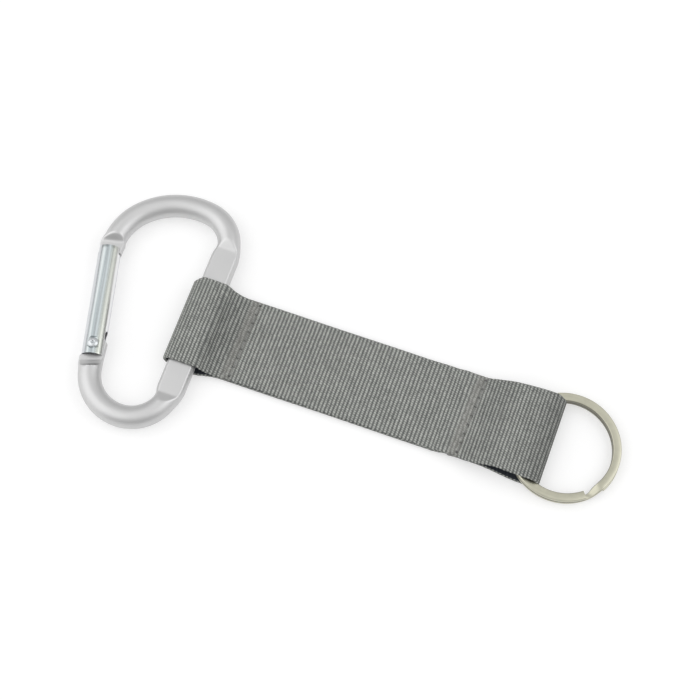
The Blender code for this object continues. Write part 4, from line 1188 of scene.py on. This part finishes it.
# The inner face is painted near black as shade, for the gap between the layers where it shows.
webbing.set("Base Color", webbing.blend(painted_shade_inner_face, pierced, (0.017, 0.022, 0.032)))
webbing.set("Roughness", 0.82 - grain_top * 0.16)
webbing.relief(grain_top * 0.8 + fibre * 0.2 - hole_dark * 0.5, 0.12 * MM, 0.9)

webbing_left = skin(
    "webbing_left", [left[0]], webbing.material, {"weave": [left[1]], "wear": [left[2]]}
)
webbing_right = skin(
    "webbing_right", [right[0], under[0]], webbing.material,
    {"weave": [right[1], under[1]], "wear": [right[2], under[2]]},
)
for cloth in (webbing_left, webbing_right):
    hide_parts("strap_webbing")

# %% [markdown]
# ## The seams
# Each seam is a lockstitch. The needle thread lies on top and the bobbin thread
# below, and they catch each other inside every needle hole. Two tubes that dip
# to the middle at each hole show just that.

# %% Sew the two seams
THREAD = 0.17 * MM
THREAD_SIDES = 8
DIP = 0.16 * MM


def thread_rows(seam, slant, surface, middle, lift):
    """One thread across the strap. lift is 1 on top and -1 beneath."""
    y = np.arange(holes[0], holes[-1] + 0.03 * MM, 0.06 * MM)
    pitch = holes[1] - holes[0]
    share = (y - holes[0]) / pitch % 1.0
    nearest = np.min(np.abs(y[:, None] - holes), axis=1)
    bulge = np.sin(math.pi * share)
    z = surface - lift * (0.10 - 0.12 * bulge) * MM
    z = z + (middle - z) * np.exp(-(nearest / DIP)**2)
    x = seam_line(seam, slant, y) + SPINE_X + 0.05 * MM * np.sin(2 * math.pi * share)
    path = np.stack([x, y, z], axis=1)
    ahead = np.gradient(path, axis=0)
    ahead /= np.linalg.norm(ahead, axis=1)[:, None]
    side = np.tile([1.0, 0.0, 0.0], (len(path), 1))
    up = np.cross(ahead, side)
    up /= np.linalg.norm(up, axis=1)[:, None]
    side = np.cross(up, ahead)
    round_thread = 2 * math.pi * np.arange(THREAD_SIDES) / THREAD_SIDES
    rows = path[:, None] + THREAD * (
        np.cos(round_thread)[:, None] * side[:, None] + np.sin(round_thread)[:, None] * up[:, None]
    )
    run = np.concatenate([[0.0], np.cumsum(np.linalg.norm(np.diff(path, axis=0), axis=1))])
    kept = np.stack([
        np.broadcast_to(run[:, None] / MM, rows.shape[:2]),
        np.broadcast_to(round_thread, rows.shape[:2]),
        np.zeros(rows.shape[:2]),
    ], axis=-1)
    return rows, kept


thread = Finish("grey_thread", metallic=0.0, sheen_weight=0.2)
thread_kept, (thread_run, thread_round, thread_none) = thread.stored("thread_place")
twist = thread_run * 9.0 + thread_round * 2.0
ply = twist.maths("SINE", twist) * 0.5 + 0.5
fuzz = thread.noise(thread.place(), 12.0, 3.0)
thread.set("Base Color", thread.blend(ply * 0.7 + fuzz * 0.3, (0.15, 0.155, 0.145), (0.36, 0.37, 0.35)))
thread.set("Roughness", 0.7 - ply * 0.1)
thread.relief(ply, 0.05 * MM, 0.7)


def sew(name, seam, slant, layers, node):
    top = layers * LAYER - 0.15 * MM
    parts = [
        thread_rows(seam, slant, top - 0.1 * MM, top / 2 + 0.1 * MM, 1),
        thread_rows(seam, slant, 0.1 * MM + 0.12 * MM, top / 2 - 0.1 * MM, -1),
    ]
    made = skin(
        name, [rows for rows, _ in parts], thread.material,
        {"thread_place": [kept for _, kept in parts]},
    )
    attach(made, "strap")
    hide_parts(node)
    return made


left_seam = sew("stitches_left", SPINE_SEAM, CARABINER_SLANT, 2, "carabiner_seam")
right_seam = sew("stitches_right", RING_SEAM, RING_SLANT, 3, "ring_seam")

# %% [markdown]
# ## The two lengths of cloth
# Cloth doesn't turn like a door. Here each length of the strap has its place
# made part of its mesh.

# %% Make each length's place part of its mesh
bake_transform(webbing_left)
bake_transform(webbing_right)
